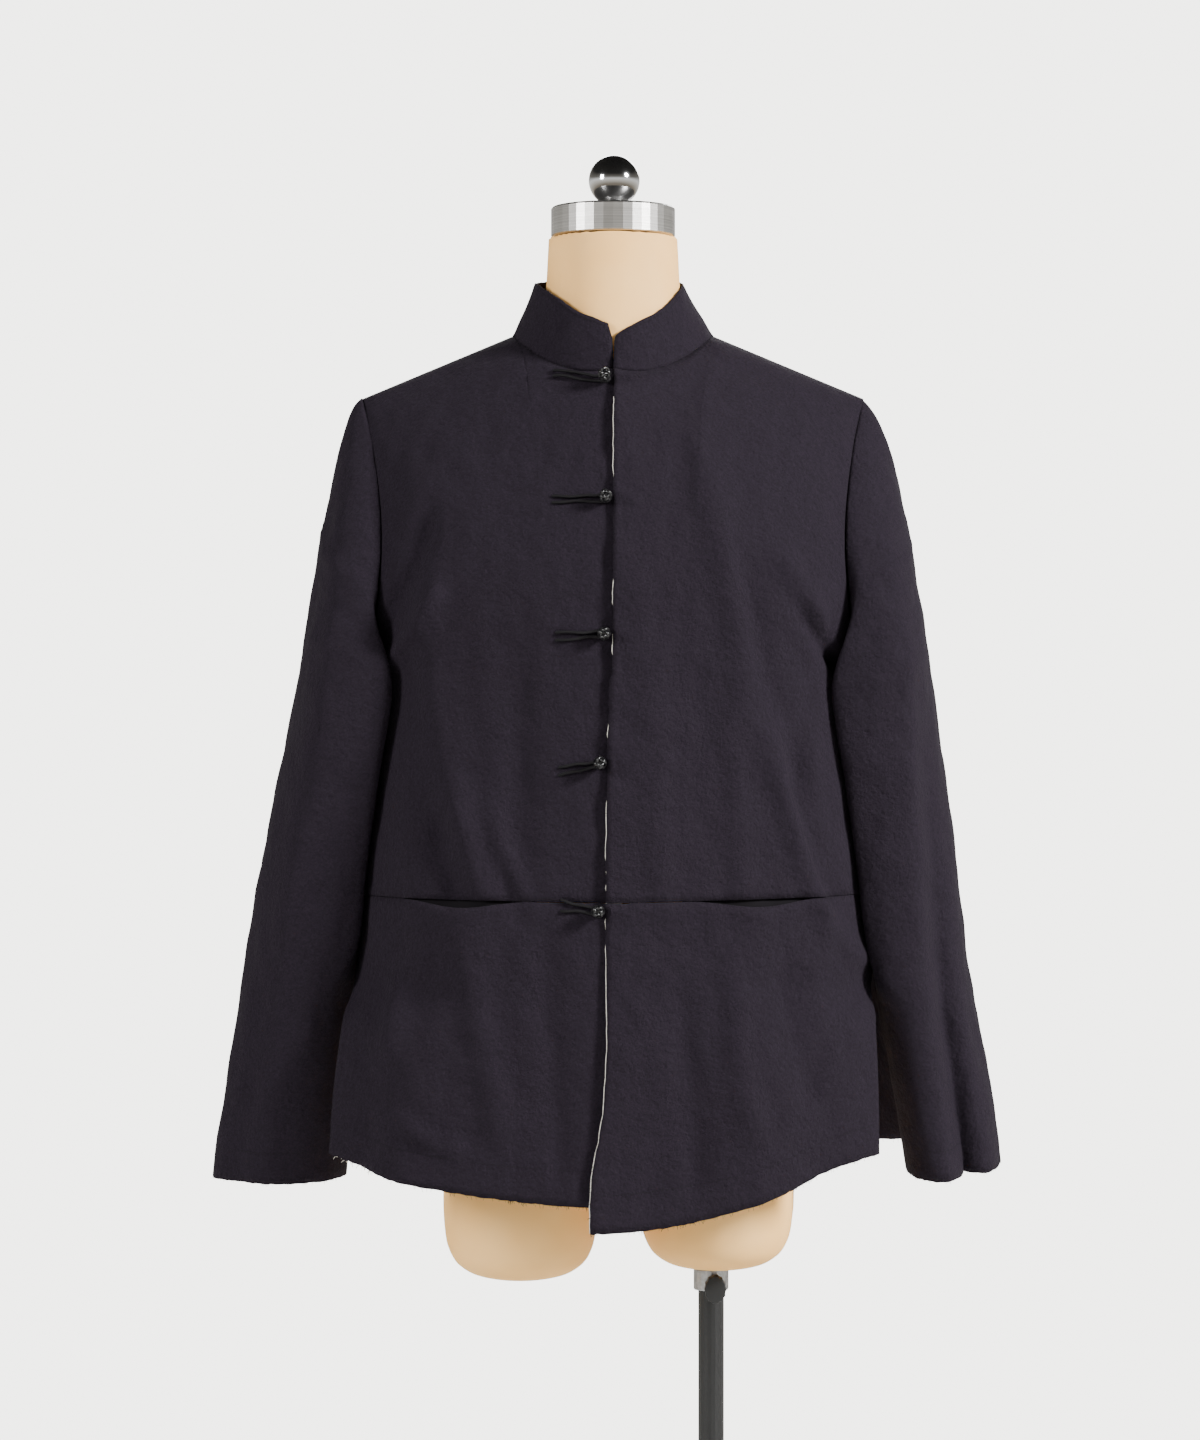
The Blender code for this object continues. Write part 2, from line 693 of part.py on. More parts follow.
def collar_point(step, row, rows):
    """Round the neck from the left front's end, base (row 0) to top."""
    if step <= NECK_STEPS:
        side, front, place = 1, True, step
    elif step <= 3 * NECK_STEPS:
        place = abs(2 * NECK_STEPS - step)
        side, front = (1 if step < 2 * NECK_STEPS else -1), False
    else:
        side, front, place = -1, True, 4 * NECK_STEPS - step
    turn, level = upper_point(side, front, place, CAP_STEPS)
    base = lifted(side, body_point(side, front, turn, level))
    end = 1 if step == 0 else -1 if step == 4 * NECK_STEPS else 0
    around = math.degrees(math.atan2(base.x - COLLAR_CENTRE[0], COLLAR_CENTRE[1] - base.y))
    high = value(COLLAR_TOP, "left" if around > 0 else "right", abs(around))
    top = Vector((
        COLLAR_CENTRE[0] + COLLAR_HALF[0] * math.sin(math.radians(around)),
        COLLAR_CENTRE[1] - COLLAR_HALF[1] * math.cos(math.radians(around)), high))
    base += (top - base).normalized() * COLLAR_LIFT
    point = base.lerp(top, row / rows)
    point.x += end * COLLAR_SPLIT
    return point


# ---- Frog fastenings ----

def cord_curve(name, points, width, made, collection=JACKET):
    curve = bpy.data.curves.new(name, "CURVE")
    curve.dimensions = "3D"
    curve.bevel_depth = width / 2
    curve.bevel_resolution = 2
    curve.use_fill_caps = True
    spline = curve.splines.new("POLY")
    spline.points.add(len(points) - 1)
    for slot, point in zip(spline.points, points):
        slot.co = (*point, 1)
    curve.materials.append(made)
    obj = bpy.data.objects.new(name, curve)
    collection.objects.link(obj)
    return obj


def frog_frame(knot_z):
    """The knot's foot on the right front, and out of the cloth there."""
    x = value(EDGE, "x", knot_z) - KNOT_BEFORE_EDGE
    half = half_width(-1, True, min(knot_z, CHEST))
    turn, level = turn_of(-x, half), level_at(x, knot_z, True)
    out = out_of(-1, True, turn, level)
    return body_point(-1, True, turn, level) + out * CLOTH / 2, out


def loop_points(knot_z, end_x, end_z, spread):
    """One strand out from the end, round the knot's neck and back beside itself."""
    foot, out = frog_frame(knot_z)
    strand = []
    lying = CORD / 2 + SEAM
    for part, height, apart in ((1.0, lying, spread), (0.75, lying, (spread + STRANDS / 2) / 2),
                                (0.5, lying, STRANDS / 2), (0.2, lying + 0.001, STRANDS / 2)):
        x = foot.x + (end_x - foot.x) * part
        z = knot_z + (end_z - knot_z) * part
        strand.append((x, z, height + CLOTH / 2, apart))
    upper = [on_body(-1, True, x, z + apart, height) for x, z, height, apart in strand]
    lower = [on_body(-1, True, x, z - apart, height) for x, z, height, apart in strand]
    up = Vector((1, 0, 0)).cross(out)
    up *= math.copysign(1, up.z)
    eye = []
    for angle in (100, 60, 20, -20, -60, -100):
        swing = math.radians(angle)
        shift = Vector((1, 0, 0)) * math.cos(swing) + up * math.sin(swing)
        eye.append(foot + out * EYE_HEIGHT + shift * (CORD / 2 + TAIL / 2 + 0.0008))
    return upper + eye + lower[::-1]


def knot(index, knot_z, made):
    """The ball knot with its neck, whose tail goes back to the left front's edge."""
    foot, out = frog_frame(knot_z)
    bm = bmesh.new()
    bmesh.ops.create_uvsphere(bm, u_segments=12, v_segments=8, radius=KNOT_RADIUS)
    bmesh.ops.translate(bm, verts=bm.verts, vec=foot + out * KNOT_HEIGHT)
    obj = object_from(f"frog_knot_{index}", bm, made)
    right = Vector((1, 0, 0))
    route = [foot + out * (KNOT_HEIGHT - 0.002), foot + out * 0.0024,
             foot + out * 0.0013 + right * 0.0008, foot + out * 0.0011 + right * 0.0036]
    tail = cord_curve(f"tail_{index}", route, TAIL, made, CUTTERS)
    bpy.context.view_layer.update()
    mesh = bpy.data.meshes.new_from_object(
        tail.evaluated_get(bpy.context.evaluated_depsgraph_get()))
    bm = bmesh.new()
    bm.from_mesh(mesh)
    bmesh.ops.remove_doubles(bm, verts=bm.verts, dist=1e-6)
    bm.to_mesh(mesh)
    bm.free()
    bpy.data.objects.remove(tail)
    cutter = bpy.data.objects.new(f"tail_{index}", mesh)
    join(obj, cutter)


def join(obj, other):
    """Adds another closed mesh to an object by a Boolean union."""
    CUTTERS.objects.link(other)
    other.hide_render = True
    other.display_type = "WIRE"
    union = obj.modifiers.new("join", "BOOLEAN")
    union.operation = "UNION"
    union.solver = "EXACT"
    union.object = other


# ---- Dress form ----

FORM_STEPS = 5
FORM_SHOULDER = 4


def trunk_point(side, front, turn, row_z):
    half = value(TRUNK, "half", row_z)
    deep = value(TRUNK, "front" if front else "back", row_z)
    x = half * power(math.sin(math.radians(turn)), 2 / SQUARENESS)
    y = deep * power(math.cos(math.radians(turn)), 2 / SQUARENESS)
    return Vector((side * x, MIDDLE_Y + (-y if front else y), row_z))


def form_upper(side, front, turn, share):
    """Above the chest the form keeps inside the jacket's own surface."""
    half = FORM_CHEST_HALF
    x = half * power(math.sin(math.radians(turn)), 2 / SQUARENESS)
    body_turn = turn_of(x, half_width(side, front, CHEST))
    neck_x = NECK_HALF - FORM_NECK_INSET
    top = 1.0
    if x < neck_x - 1e-6:
        middle = 1 - level_at(0, (NECK_PIT if front else NECK_BACK) - 0.004, front)
        top = 1 - middle * math.sqrt(1 - (x / neck_x) ** 2)
    level = top * share
    point = body_point(side, front, body_turn, level) - out_of(
        side, front, body_turn, max(level, 0.01)) * FORM_INSET * ease(share * 3)
    chest = trunk_point(side, front, turn, CHEST)
    if share == 1 and x > neck_x - 1e-6:
        return Vector((side * x, SHOULDER_Y, shoulder_top(x, True) - FORM_INSET - 0.003))
    held = ease(share * 2.2)
    return Vector((chest.x, chest.y + (point.y - chest.y) * held, point.z - 0.003 * share))


def form_body(made):
    """Trunk, shoulders and neck as one closed skin, joined to two short thighs."""
    columns = 12
    bm = bmesh.new()
    trunk_z = TRUNK["z"]
    shares = (0.14, 0.30, 0.47, 0.64, 0.80, 0.91, 1.0)
    neck_turn = turn_of(NECK_HALF - FORM_NECK_INSET, FORM_CHEST_HALF)

    def turn_at(step):
        neck_steps = 4
        if step <= neck_steps:
            return neck_turn * step / neck_steps
        return neck_turn + (90 - neck_turn) * (step - neck_steps) / (columns - neck_steps)

    def loop(place):
        """One closed ring: left front, left back, right back, right front."""
        found = [place(1, True, turn_at(s)) for s in range(columns)]
        found += [place(1, False, turn_at(s)) for s in range(columns, 0, -1)]
        found += [place(-1, False, turn_at(s)) for s in range(columns)]
        found += [place(-1, True, turn_at(s)) for s in range(columns, 0, -1)]
        return found

    rings = [loop(lambda side, front, turn, z=z: trunk_point(side, front, turn, z))
             for z in trunk_z]
    rings += [loop(lambda side, front, turn, s=s: form_upper(side, front, turn, s))
              for s in shares]
    verts = [[bm.verts.new(point) for point in ring] for ring in rings]
    count = len(rings[0])
    for low, high in zip(verts, verts[1:]):
        for i in range(count):
            k = (i + 1) % count
            bm.faces.new((low[i], low[k], high[k], high[i]))
    bm.faces.new(verts[0][::-1])
    # The neck rises from the middle of the front and back; the rest closes as shoulders.
    neck = [i for i in range(count)
            if min(i, count - i) <= 4 or abs(i - 2 * columns) <= 3]
    last = [verts[-1][i] for i in neck]
    front_count = len(last)
    for z, half_x, half_y in NECK_TUBE:
        ring = []
        for vert in last:
            around = math.atan2(vert.co.x, -(vert.co.y + 0.002))
            ring.append(bm.verts.new((half_x * math.sin(around),
                                      -0.002 - half_y * math.cos(around), z)))
        for i in range(front_count):
            k = (i + 1) % front_count
            bm.faces.new((last[i], last[k], ring[k], ring[i]))
        last = ring
    bm.faces.new(last)
    bmesh.ops.remove_doubles(bm, verts=bm.verts, dist=2e-5)
    bmesh.ops.recalc_face_normals(bm, faces=bm.faces)
    body = object_from("form_body", bm, made)
    for row in zip(*LEGS.values()):
        join(body, thigh(*row, made))


def thigh(side, x, foot, made):
    """A short thigh with a rounded end."""
    profile = ((0.0, 0.0), (0.30, 0.0), (0.62, 0.004), (0.85, 0.014), (0.96, 0.030),
               (1.0, 0.055), (1.0, 0.110), (0.96, 0.165), (0.80, 0.185), (0.0, 0.185))
    bm = bmesh.new()
    points = [bm.verts.new((share, 0, foot + rise)) for share, rise in profile]
    edges = [bm.edges.new(pair) for pair in zip(points, points[1:])]
    bmesh.ops.spin(bm, geom=points + edges, cent=(0, 0, 0), axis=(0, 0, 1),
                   angle=2 * math.pi, steps=20, use_merge=True)
    bmesh.ops.remove_doubles(bm, verts=bm.verts, dist=1e-6)
    bmesh.ops.scale(bm, verts=bm.verts, vec=(*LEG_RADIUS, 1))
    bmesh.ops.translate(bm, verts=bm.verts, vec=(x, 0, 0))
    bmesh.ops.recalc_face_normals(bm, faces=bm.faces)
    mesh = bpy.data.meshes.new(f"thigh_{side}")
    bm.to_mesh(mesh)
    bm.free()
    mesh.materials.append(made)
    return bpy.data.objects.new(f"thigh_{side}", mesh)


def turned(name, profile, centre, made, steps=32):
    """A turned piece: radius and height pairs spun about an upright axis."""
    bm = bmesh.new()
    points = [bm.verts.new((radius, 0, height)) for radius, height in profile]
    edges = [bm.edges.new(pair) for pair in zip(points, points[1:])]
    bmesh.ops.spin(bm, geom=points + edges, cent=(0, 0, 0), axis=(0, 0, 1),
                   angle=2 * math.pi, steps=steps, use_merge=True)
    bmesh.ops.remove_doubles(bm, verts=bm.verts, dist=1e-6)
    bmesh.ops.translate(bm, verts=bm.verts, vec=(*centre, 0))
    bmesh.ops.recalc_face_normals(bm, faces=bm.faces)
    obj = object_from(name, bm, made)
    obj.data.shade_smooth()
    obj.data.set_sharp_from_angle(angle=math.radians(35))
    return obj


def stand(metal, chrome, black, grey):
    """Neck cap and ball above; socket, pole, screw and base below."""
    turned("neck_cap", ((0, CAP_BOTTOM), (CAP_RADIUS - 0.001, CAP_BOTTOM),
                        (CAP_RADIUS, CAP_BOTTOM + 0.001), (CAP_RADIUS, CAP_TOP - 0.0015),
                        (CAP_RADIUS - 0.0015, CAP_TOP), (0, CAP_TOP)), (0, -0.002), metal, 40)
    ball = [(0, CAP_TOP + SEAM), (0.0062, CAP_TOP + SEAM)]
    ball += [(BALL_RADIUS * math.sin(math.radians(a)),
              BALL_HEIGHT - BALL_RADIUS * math.cos(math.radians(a))) for a in range(20, 180, 16)]
    ball += [(0, BALL_HEIGHT + BALL_RADIUS)]
    turned("cap_ball", ball, (0.001, -0.002), chrome, 24)
    x, y, radius = POLE
    foot = LEGS["foot"][1]
    turned("stand_pole", ((0, BASE_THICK + SEAM), (radius, BASE_THICK + SEAM),
                          (radius, foot - SEAM), (0, foot - SEAM)), (x, y), black, 20)
    inner = radius + SEAM
    turned("form_socket", ((inner, foot - 0.018), (0.0145, foot - 0.018),
                           (0.0150, foot - 0.017), (0.0150, foot - 2 * SEAM),
                           (inner, foot - 2 * SEAM), (inner, foot - 0.018)), (x, y), grey, 20)
    turned("pole_socket", ((inner, BASE_THICK + SEAM), (0.0190, BASE_THICK + SEAM),
                           (0.0190, 0.038), (0.0175, 0.040), (inner, 0.040),
                           (inner, BASE_THICK + SEAM)), (x, y), black, 20)
    bm = bmesh.new()
    bmesh.ops.create_cone(bm, cap_ends=True, segments=16, radius1=0.0095, radius2=0.0075,
                          depth=0.012)
    bmesh.ops.scale(bm, verts=bm.verts, vec=(1, 1.35, 1))
    bmesh.ops.rotate(bm, verts=bm.verts, cent=(0, 0, 0),
                     matrix=Vector((0, 0, 1)).rotation_difference((0, -1, 0)).to_matrix())
    bmesh.ops.translate(bm, verts=bm.verts, vec=(x + 0.003, y - 0.0215, foot - 0.0150))
    object_from("socket_screw", bm, black)
    turned("stand_base", ((0, 0), (BASE_RADIUS - 0.003, 0), (BASE_RADIUS, 0.003),
                          (BASE_RADIUS, BASE_THICK - 0.002), (BASE_RADIUS - 0.004, BASE_THICK),
                          (0, BASE_THICK)), (0, 0), black, 48)


def jacket(cloth, satin, pale):
    """The sewn pieces, then the fastenings."""
    for side, word in ((-1, "right"), (1, "left")):
        cloth_piece(f"front_{word}_upper", STEPS, SIDE_ROWS + CAP_STEPS,
                    lambda s, r, side=side: upper_front(side, s, r), cloth)
        cloth_piece(f"front_{word}_lower", STEPS, SKIRT_ROWS,
                    lambda s, r, side=side: lower_front(side, s, r), cloth)
        grid = bag_grid(side)
        cloth_piece(f"pocket_bag_{word}", len(grid[0]) - 1, len(grid[1]) - 1,
                    lambda s, r, side=side, grid=grid: pocket_bag(side, grid, s, r), cloth)
        columns = SLEEVE_LEFT if side > 0 else SLEEVE_RIGHT
        cloth_piece(f"sleeve_{word}", 2 * CAP_STEPS, TUBE_ROWS + HEAD_ROWS,
                    lambda s, r, side=side, columns=columns: sleeve_point(side, columns, s, r),
                    cloth, closed=True)
    cloth_piece("back", 2 * STEPS, SKIRT_ROWS + SIDE_ROWS + CAP_STEPS, back_point, cloth)
    cloth_piece("collar", 4 * NECK_STEPS, 3, lambda s, r: collar_point(s, r, 3), cloth)
    cloth_piece("left_front_facing", 2, FACING_TOP, facing_point, pale, FACING_CLOTH)
    for index, row in enumerate(zip(*FROGS.values()), 1):
        cord_curve(f"frog_loop_{index}", loop_points(*row), CORD, satin)
        knot(index, row[0], satin)


def main():
    clear_scene()
    cloth = material("black_crepe_cotton", (0.022, 0.019, 0.023), 0.85)
    satin = material("black_satin_cord", (0.018, 0.016, 0.018), 0.45)
    pale = material("pale_cotton_facing", (0.72, 0.69, 0.62), 0.9)
    jersey = material("cream_form_cover", (0.80, 0.60, 0.40), 0.75)
    metal = material("brushed_steel", (0.55, 0.55, 0.55), 0.35, 1.0)
    chrome = material("chrome", (0.80, 0.80, 0.80), 0.08, 1.0)
    black = material("black_enamel", (0.015, 0.015, 0.015), 0.4)
    grey = material("grey_zinc", (0.45, 0.45, 0.45), 0.4, 1.0)
    jacket(cloth, satin, pale)
    form_body(jersey)
    stand(metal, chrome, black, grey)


main()
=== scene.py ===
"""A black tang jacket on a limbless dress form, with the looks of its real materials.

The model is in metres, +Z up; the jacket's front faces -Y and the wearer's left is +X.
"""

import math
import random

import bmesh
import bpy
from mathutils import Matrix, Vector, noise


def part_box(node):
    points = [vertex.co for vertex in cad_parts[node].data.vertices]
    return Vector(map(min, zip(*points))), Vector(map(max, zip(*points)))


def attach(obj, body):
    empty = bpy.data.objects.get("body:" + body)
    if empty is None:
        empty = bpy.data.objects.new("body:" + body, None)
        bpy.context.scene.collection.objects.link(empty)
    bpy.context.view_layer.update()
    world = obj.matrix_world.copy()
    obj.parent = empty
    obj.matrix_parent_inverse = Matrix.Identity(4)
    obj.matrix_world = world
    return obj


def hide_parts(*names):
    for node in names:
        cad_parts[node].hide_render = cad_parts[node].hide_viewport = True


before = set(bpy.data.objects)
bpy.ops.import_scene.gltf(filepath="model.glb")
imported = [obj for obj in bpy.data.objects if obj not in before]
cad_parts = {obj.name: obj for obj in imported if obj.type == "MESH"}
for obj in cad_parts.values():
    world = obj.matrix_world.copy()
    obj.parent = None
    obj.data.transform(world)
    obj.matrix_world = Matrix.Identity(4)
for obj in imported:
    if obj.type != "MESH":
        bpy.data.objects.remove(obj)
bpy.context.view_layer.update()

# ---- Stand: base, pole, sockets and screw ----
# A round steel base and a steel tube, both finished in black powder coat. A grey die-cast
# socket in the left thigh slides on the tube, and a black plastic screw pinches it.


def colour(text):
    """A hex sRGB colour as linear red, green, blue and alpha."""
    parts = [int(text[i:i + 2], 16) / 255 for i in (1, 3, 5)]
    return [*(p / 12.92 if p <= 0.04045 else ((p + 0.055) / 1.055) ** 2.4 for p in parts), 1]


def node(owner, kind, links=(), to=None, shades=(), **values):
    """Adds a node with its values, a ramp's shades, its links and the socket it leads to."""
    tree = owner.node_tree
    made = tree.nodes.new(kind)
    for name, value in values.items():
        spot = name.replace("_", " ").title()
        if spot in made.inputs:
            made.inputs[spot].default_value = value
        else:
            setattr(made, name, value)
    for spot, source in links:
        tree.links.new(source, made.inputs[spot])
    if shades:
        stops = made.color_ramp.elements
        stops.remove(stops[1])
        stops[0].position, stops[0].color = shades[0][0], colour(shades[0][1])
        for place, shade in shades[1:]:
            stops.new(place).color = colour(shade)
    if to:
        tree.links.new(made.outputs[0], to)
    return made


def surface(name, roughness, metallic=0.0, base="#808080", specular=0.5, **values):
    """A material with its shader, ready for its pattern."""
    made = bpy.data.materials.new(name)
    made.use_nodes = True
    shader = made.node_tree.nodes["Principled BSDF"]
    shader.inputs["Base Color"].default_value = colour(base)
    shader.inputs["Roughness"].default_value = roughness
    shader.inputs["Metallic"].default_value = metallic
    shader.inputs["Specular IOR Level"].default_value = specular
    for spot, value in values.items():
        shader.inputs[spot.replace("_", " ").title()].default_value = value
    return made, shader


# Powder coat cures with a fine orange peel of about 1.5 mm, so its gloss breaks up.
powder, powder_shader = surface("black_powder_coat", 0.42, base="#0E0E0F")
spot = node(powder, "ShaderNodeTexCoord").outputs["Object"]
peel = node(powder, "ShaderNodeTexNoise", [("Vector", spot)], scale=650.0, detail=2.0)
node(powder, "ShaderNodeValToRGB", [("Fac", peel.outputs["Fac"])],
     powder_shader.inputs["Base Color"], ((0.35, "#0B0B0C"), (0.65, "#121213")))
node(powder, "ShaderNodeBump", [("Height", peel.outputs["Fac"])],
     powder_shader.inputs["Normal"], distance=0.00012, strength=1.0)

# Die-cast zinc has a dull skin with small cloudy marks of about 4 mm.
zinc, zinc_shader = surface("die_cast_zinc", 0.4, 1.0, base="#A9AAAC")
spot = node(zinc, "ShaderNodeTexCoord").outputs["Object"]
clouds = node(zinc, "ShaderNodeTexNoise", [("Vector", spot)], scale=240.0, detail=4.0)
node(zinc, "ShaderNodeValToRGB", [("Fac", clouds.outputs["Fac"])],
     zinc_shader.inputs["Base Color"], ((0.3, "#97989A"), (0.7, "#B9BABC")))
node(zinc, "ShaderNodeBump", [("Height", clouds.outputs["Fac"])],
     zinc_shader.inputs["Normal"], distance=0.00005, strength=1.0)

for name, made in (("stand_base", powder), ("stand_pole", powder), ("pole_socket", powder),
                   ("form_socket", zinc)):
    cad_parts[name].data.materials.clear()
    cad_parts[name].data.materials.append(made)

# The screw's moulded head is ribbed for the fingers.
RIBS, RIB_DEPTH = 14, 0.0007
HEAD_RADIUS, HEAD_DEPTH = 0.0094, 0.0118
low, high = (Vector(corner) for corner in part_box("socket_screw"))
bm = bmesh.new()
bmesh.ops.create_circle(bm, cap_ends=True, segments=RIBS * 4, radius=HEAD_RADIUS)
for vert in bm.verts:
    around = math.atan2(vert.co.y, vert.co.x)
    vert.co *= 1 - RIB_DEPTH / HEAD_RADIUS * (0.5 - 0.5 * math.cos(RIBS * around))
top = bmesh.ops.extrude_face_region(bm, geom=bm.faces[:])["geom"]
bmesh.ops.translate(bm, verts=[g for g in top if isinstance(g, bmesh.types.BMVert)],
                    vec=(0, 0, HEAD_DEPTH))
bmesh.ops.recalc_face_normals(bm, faces=bm.faces)
caps = [edge for edge in bm.edges if abs(edge.calc_face_angle(0)) > 1.2]
bmesh.ops.bevel(bm, geom=caps, offset=0.0008, segments=3, profile=0.5, affect="EDGES",
                material=-1, clamp_overlap=True)
bmesh.ops.scale(bm, verts=bm.verts, vec=(1, 1.3, 1))
bmesh.ops.rotate(bm, verts=bm.verts, cent=(0, 0, 0),
                 matrix=Vector((0, 0, 1)).rotation_difference((0, -1, 0)).to_matrix())
bmesh.ops.translate(bm, verts=bm.verts, vec=((low.x + high.x) / 2, high.y, (low.z + high.z) / 2))


def piece_from(name, bm, made, replaces=(), smooth=True):
    """A finished piece from a bmesh, riding on the object."""
    mesh = bpy.data.meshes.new(name)
    bm.to_mesh(mesh)
    bm.free()
    mesh.materials.append(made)
    if smooth:
        mesh.shade_smooth()
    obj = bpy.data.objects.new(name, mesh)
    bpy.context.scene.collection.objects.link(obj)
    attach(obj, "root")
    if replaces:
        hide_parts(*replaces)
    return obj


# Moulded nylon: dark, with a faint grain of about 1 mm from its tool.
nylon, nylon_shader = surface("moulded_nylon", 0.5, base="#0D0D0E")
spot = node(nylon, "ShaderNodeTexCoord").outputs["Object"]
grain = node(nylon, "ShaderNodeTexNoise", [("Vector", spot)], scale=1000.0, detail=2.0)
node(nylon, "ShaderNodeBump", [("Height", grain.outputs["Fac"])],
     nylon_shader.inputs["Normal"], distance=0.00008, strength=1.0)
screw = piece_from("ribbed_screw", bm, nylon, ["socket_screw"])
screw.data.set_sharp_from_angle(angle=math.radians(40))

# ---- Neck cap and ball ----
# A spun steel cap closes the form's neck, brushed round its rim, and a chromed ball on a
# short stem is the handle that the form is lifted by.

# Brushing runs round the rim in hair lines about 0.4 mm apart, drawn out along the turn.
brushed, brushed_shader = surface("brushed_steel", 0.34, 1.0, base="#B5B3B0")
spot = node(brushed, "ShaderNodeTexCoord").outputs["Object"]
lines = node(brushed, "ShaderNodeMapping", [("Vector", spot)], scale=(12, 12, 2400))
hairs = node(brushed, "ShaderNodeTexNoise", [("Vector", lines.outputs["Vector"])],
             scale=1.0, detail=3.0)
node(brushed, "ShaderNodeValToRGB", [("Fac", hairs.outputs["Fac"])],
     brushed_shader.inputs["Base Color"], ((0.3, "#9C9A97"), (0.7, "#C9C7C4")))
node(brushed, "ShaderNodeBump", [("Height", hairs.outputs["Fac"])],
     brushed_shader.inputs["Normal"], distance=0.00005, strength=1.0)
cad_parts["neck_cap"].data.materials.clear()
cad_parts["neck_cap"].data.materials.append(brushed)

# Bright chrome plate over polished steel: clean reflections, with faint wiping marks.
chrome, chrome_shader = surface("chrome_plate", 0.09, 1.0, base="#D5D6D8")
spot = node(chrome, "ShaderNodeTexCoord").outputs["Object"]
wiping = node(chrome, "ShaderNodeTexNoise", [("Vector", spot)], scale=120.0, detail=3.0)
node(chrome, "ShaderNodeBump", [("Height", wiping.outputs["Fac"])],
     chrome_shader.inputs["Normal"], distance=0.00002, strength=1.0)

BALL_RADIUS = 0.0219
STEM_RADIUS = 0.0062
low, high = (Vector(corner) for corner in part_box("cap_ball"))
middle = high - Vector(((high.x - low.x) / 2, (high.y - low.y) / 2, BALL_RADIUS))
bm = bmesh.new()
bmesh.ops.create_uvsphere(bm, u_segments=48, v_segments=32, radius=BALL_RADIUS)
bmesh.ops.translate(bm, verts=bm.verts, vec=middle)
foot = bmesh.ops.create_cone(bm, cap_ends=True, segments=32, radius1=STEM_RADIUS,
                             radius2=STEM_RADIUS, depth=0.006)["verts"]
bmesh.ops.translate(bm, verts=foot, vec=(middle.x, middle.y, low.z + 0.003))
ball = piece_from("chrome_ball", bm, chrome, ["cap_ball"])
ball.data.set_sharp_from_angle(angle=math.radians(40))

# ---- Dress form ----
# A limbless torso of moulded shell under a smooth stretch cover, its thighs cut short and
# rounded. Only the neck and the thighs show; the shoulders fill the jacket from inside.


def table(columns, rows):
    """Named columns from rows, the first column rising."""
    return dict(zip(columns.split(), zip(*rows)))


def value(columns, name, at):
    """A named column at a value of the first one, along a smooth curve through the rows."""
    keys = next(iter(columns.values()))
    found = columns[name]
    if at <= keys[0]:
        return found[0]
    if at >= keys[-1]:
        return found[-1]
    i = max(k for k in range(len(keys) - 1) if keys[k] <= at)

    def slope(k):
        low, high = max(k - 1, 0), min(k + 1, len(keys) - 1)
        return (found[high] - found[low]) / (keys[high] - keys[low])

    span = keys[i + 1] - keys[i]
    t = (at - keys[i]) / span
    blend = t * t * (3 - 2 * t)
    start = slope(i) * span * t * (1 - t) ** 2
    end = slope(i + 1) * span * t * t * (t - 1)
    return found[i] * (1 - blend) + found[i + 1] * blend + start + end


# The cover's outline above the shoulders.
NECK = table(
    "z half_x half_y",
    (
        (1.400, 0.0640, 0.0640), (1.440, 0.0612, 0.0622), (1.490, 0.0580, 0.0590),
        (1.520, 0.0565, 0.0575), (1.5447, 0.0552, 0.0560),
    ),
)
NECK_Y = -0.002
NECK_FROM, NECK_CORE = 1.45, 0.045
COVER_REMESH, COVER_SMOOTHINGS = 0.0042, 14

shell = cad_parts["form_body"].data.copy()
bm = bmesh.new()
bm.from_mesh(shell)
bmesh.ops.remove_doubles(bm, verts=bm.verts, dist=1e-5)
form = piece_from("form_cover", bm, brushed, ["form_body"])
remesh = form.modifiers.new("even", "REMESH")
remesh.mode = "VOXEL"
remesh.voxel_size = COVER_REMESH
bpy.context.view_layer.update()
evened = bpy.data.meshes.new_from_object(
    form.evaluated_get(bpy.context.evaluated_depsgraph_get()))
form.modifiers.clear()
bm = bmesh.new()
bm.from_mesh(evened)
for _ in range(COVER_SMOOTHINGS):
    bmesh.ops.smooth_vert(bm, verts=bm.verts, factor=0.5, use_axis_x=True, use_axis_y=True,
                          use_axis_z=True)
for vert in bm.verts:
    # The neck is a true oval tube, so its facets are taken out.
    if vert.co.z > NECK_FROM and math.hypot(vert.co.x, vert.co.y - NECK_Y) > NECK_CORE:
        around = math.atan2(vert.co.x, -(vert.co.y - NECK_Y))
        half_x, half_y = value(NECK, "half_x", vert.co.z), value(NECK, "half_y", vert.co.z)
        vert.co.x = half_x * math.sin(around)
        vert.co.y = NECK_Y - half_y * math.cos(around)
bm.to_mesh(form.data)
bm.free()
form.data.shade_smooth()

# Knitted polyester jersey stretched tight: cream, matt, with stitches about 0.9 mm apart.
jersey, jersey_shader = surface("stretched_jersey", 0.72, base="#F8BF70")
spot = node(jersey, "ShaderNodeTexCoord").outputs["Object"]
shade = node(jersey, "ShaderNodeTexNoise", [("Vector", spot)], scale=14.0, detail=3.0)
node(jersey, "ShaderNodeValToRGB", [("Fac", shade.outputs["Fac"])],
     jersey_shader.inputs["Base Color"], ((0.3, "#F5BA68"), (0.7, "#FAC67C")))
knit = node(jersey, "ShaderNodeTexNoise", [("Vector", spot)], scale=1100.0, detail=1.0)
node(jersey, "ShaderNodeBump", [("Height", knit.outputs["Fac"])],
     jersey_shader.inputs["Normal"], distance=0.0001, strength=0.6)
form.data.materials.clear()
form.data.materials.append(jersey)

# ---- Fronts and back ----
# Black crepe-woven cotton. Each front is cut in two at the waist, where the pocket mouths
# lie in the seam; the back is one piece. Side seams end in open vents, and hems are raw.

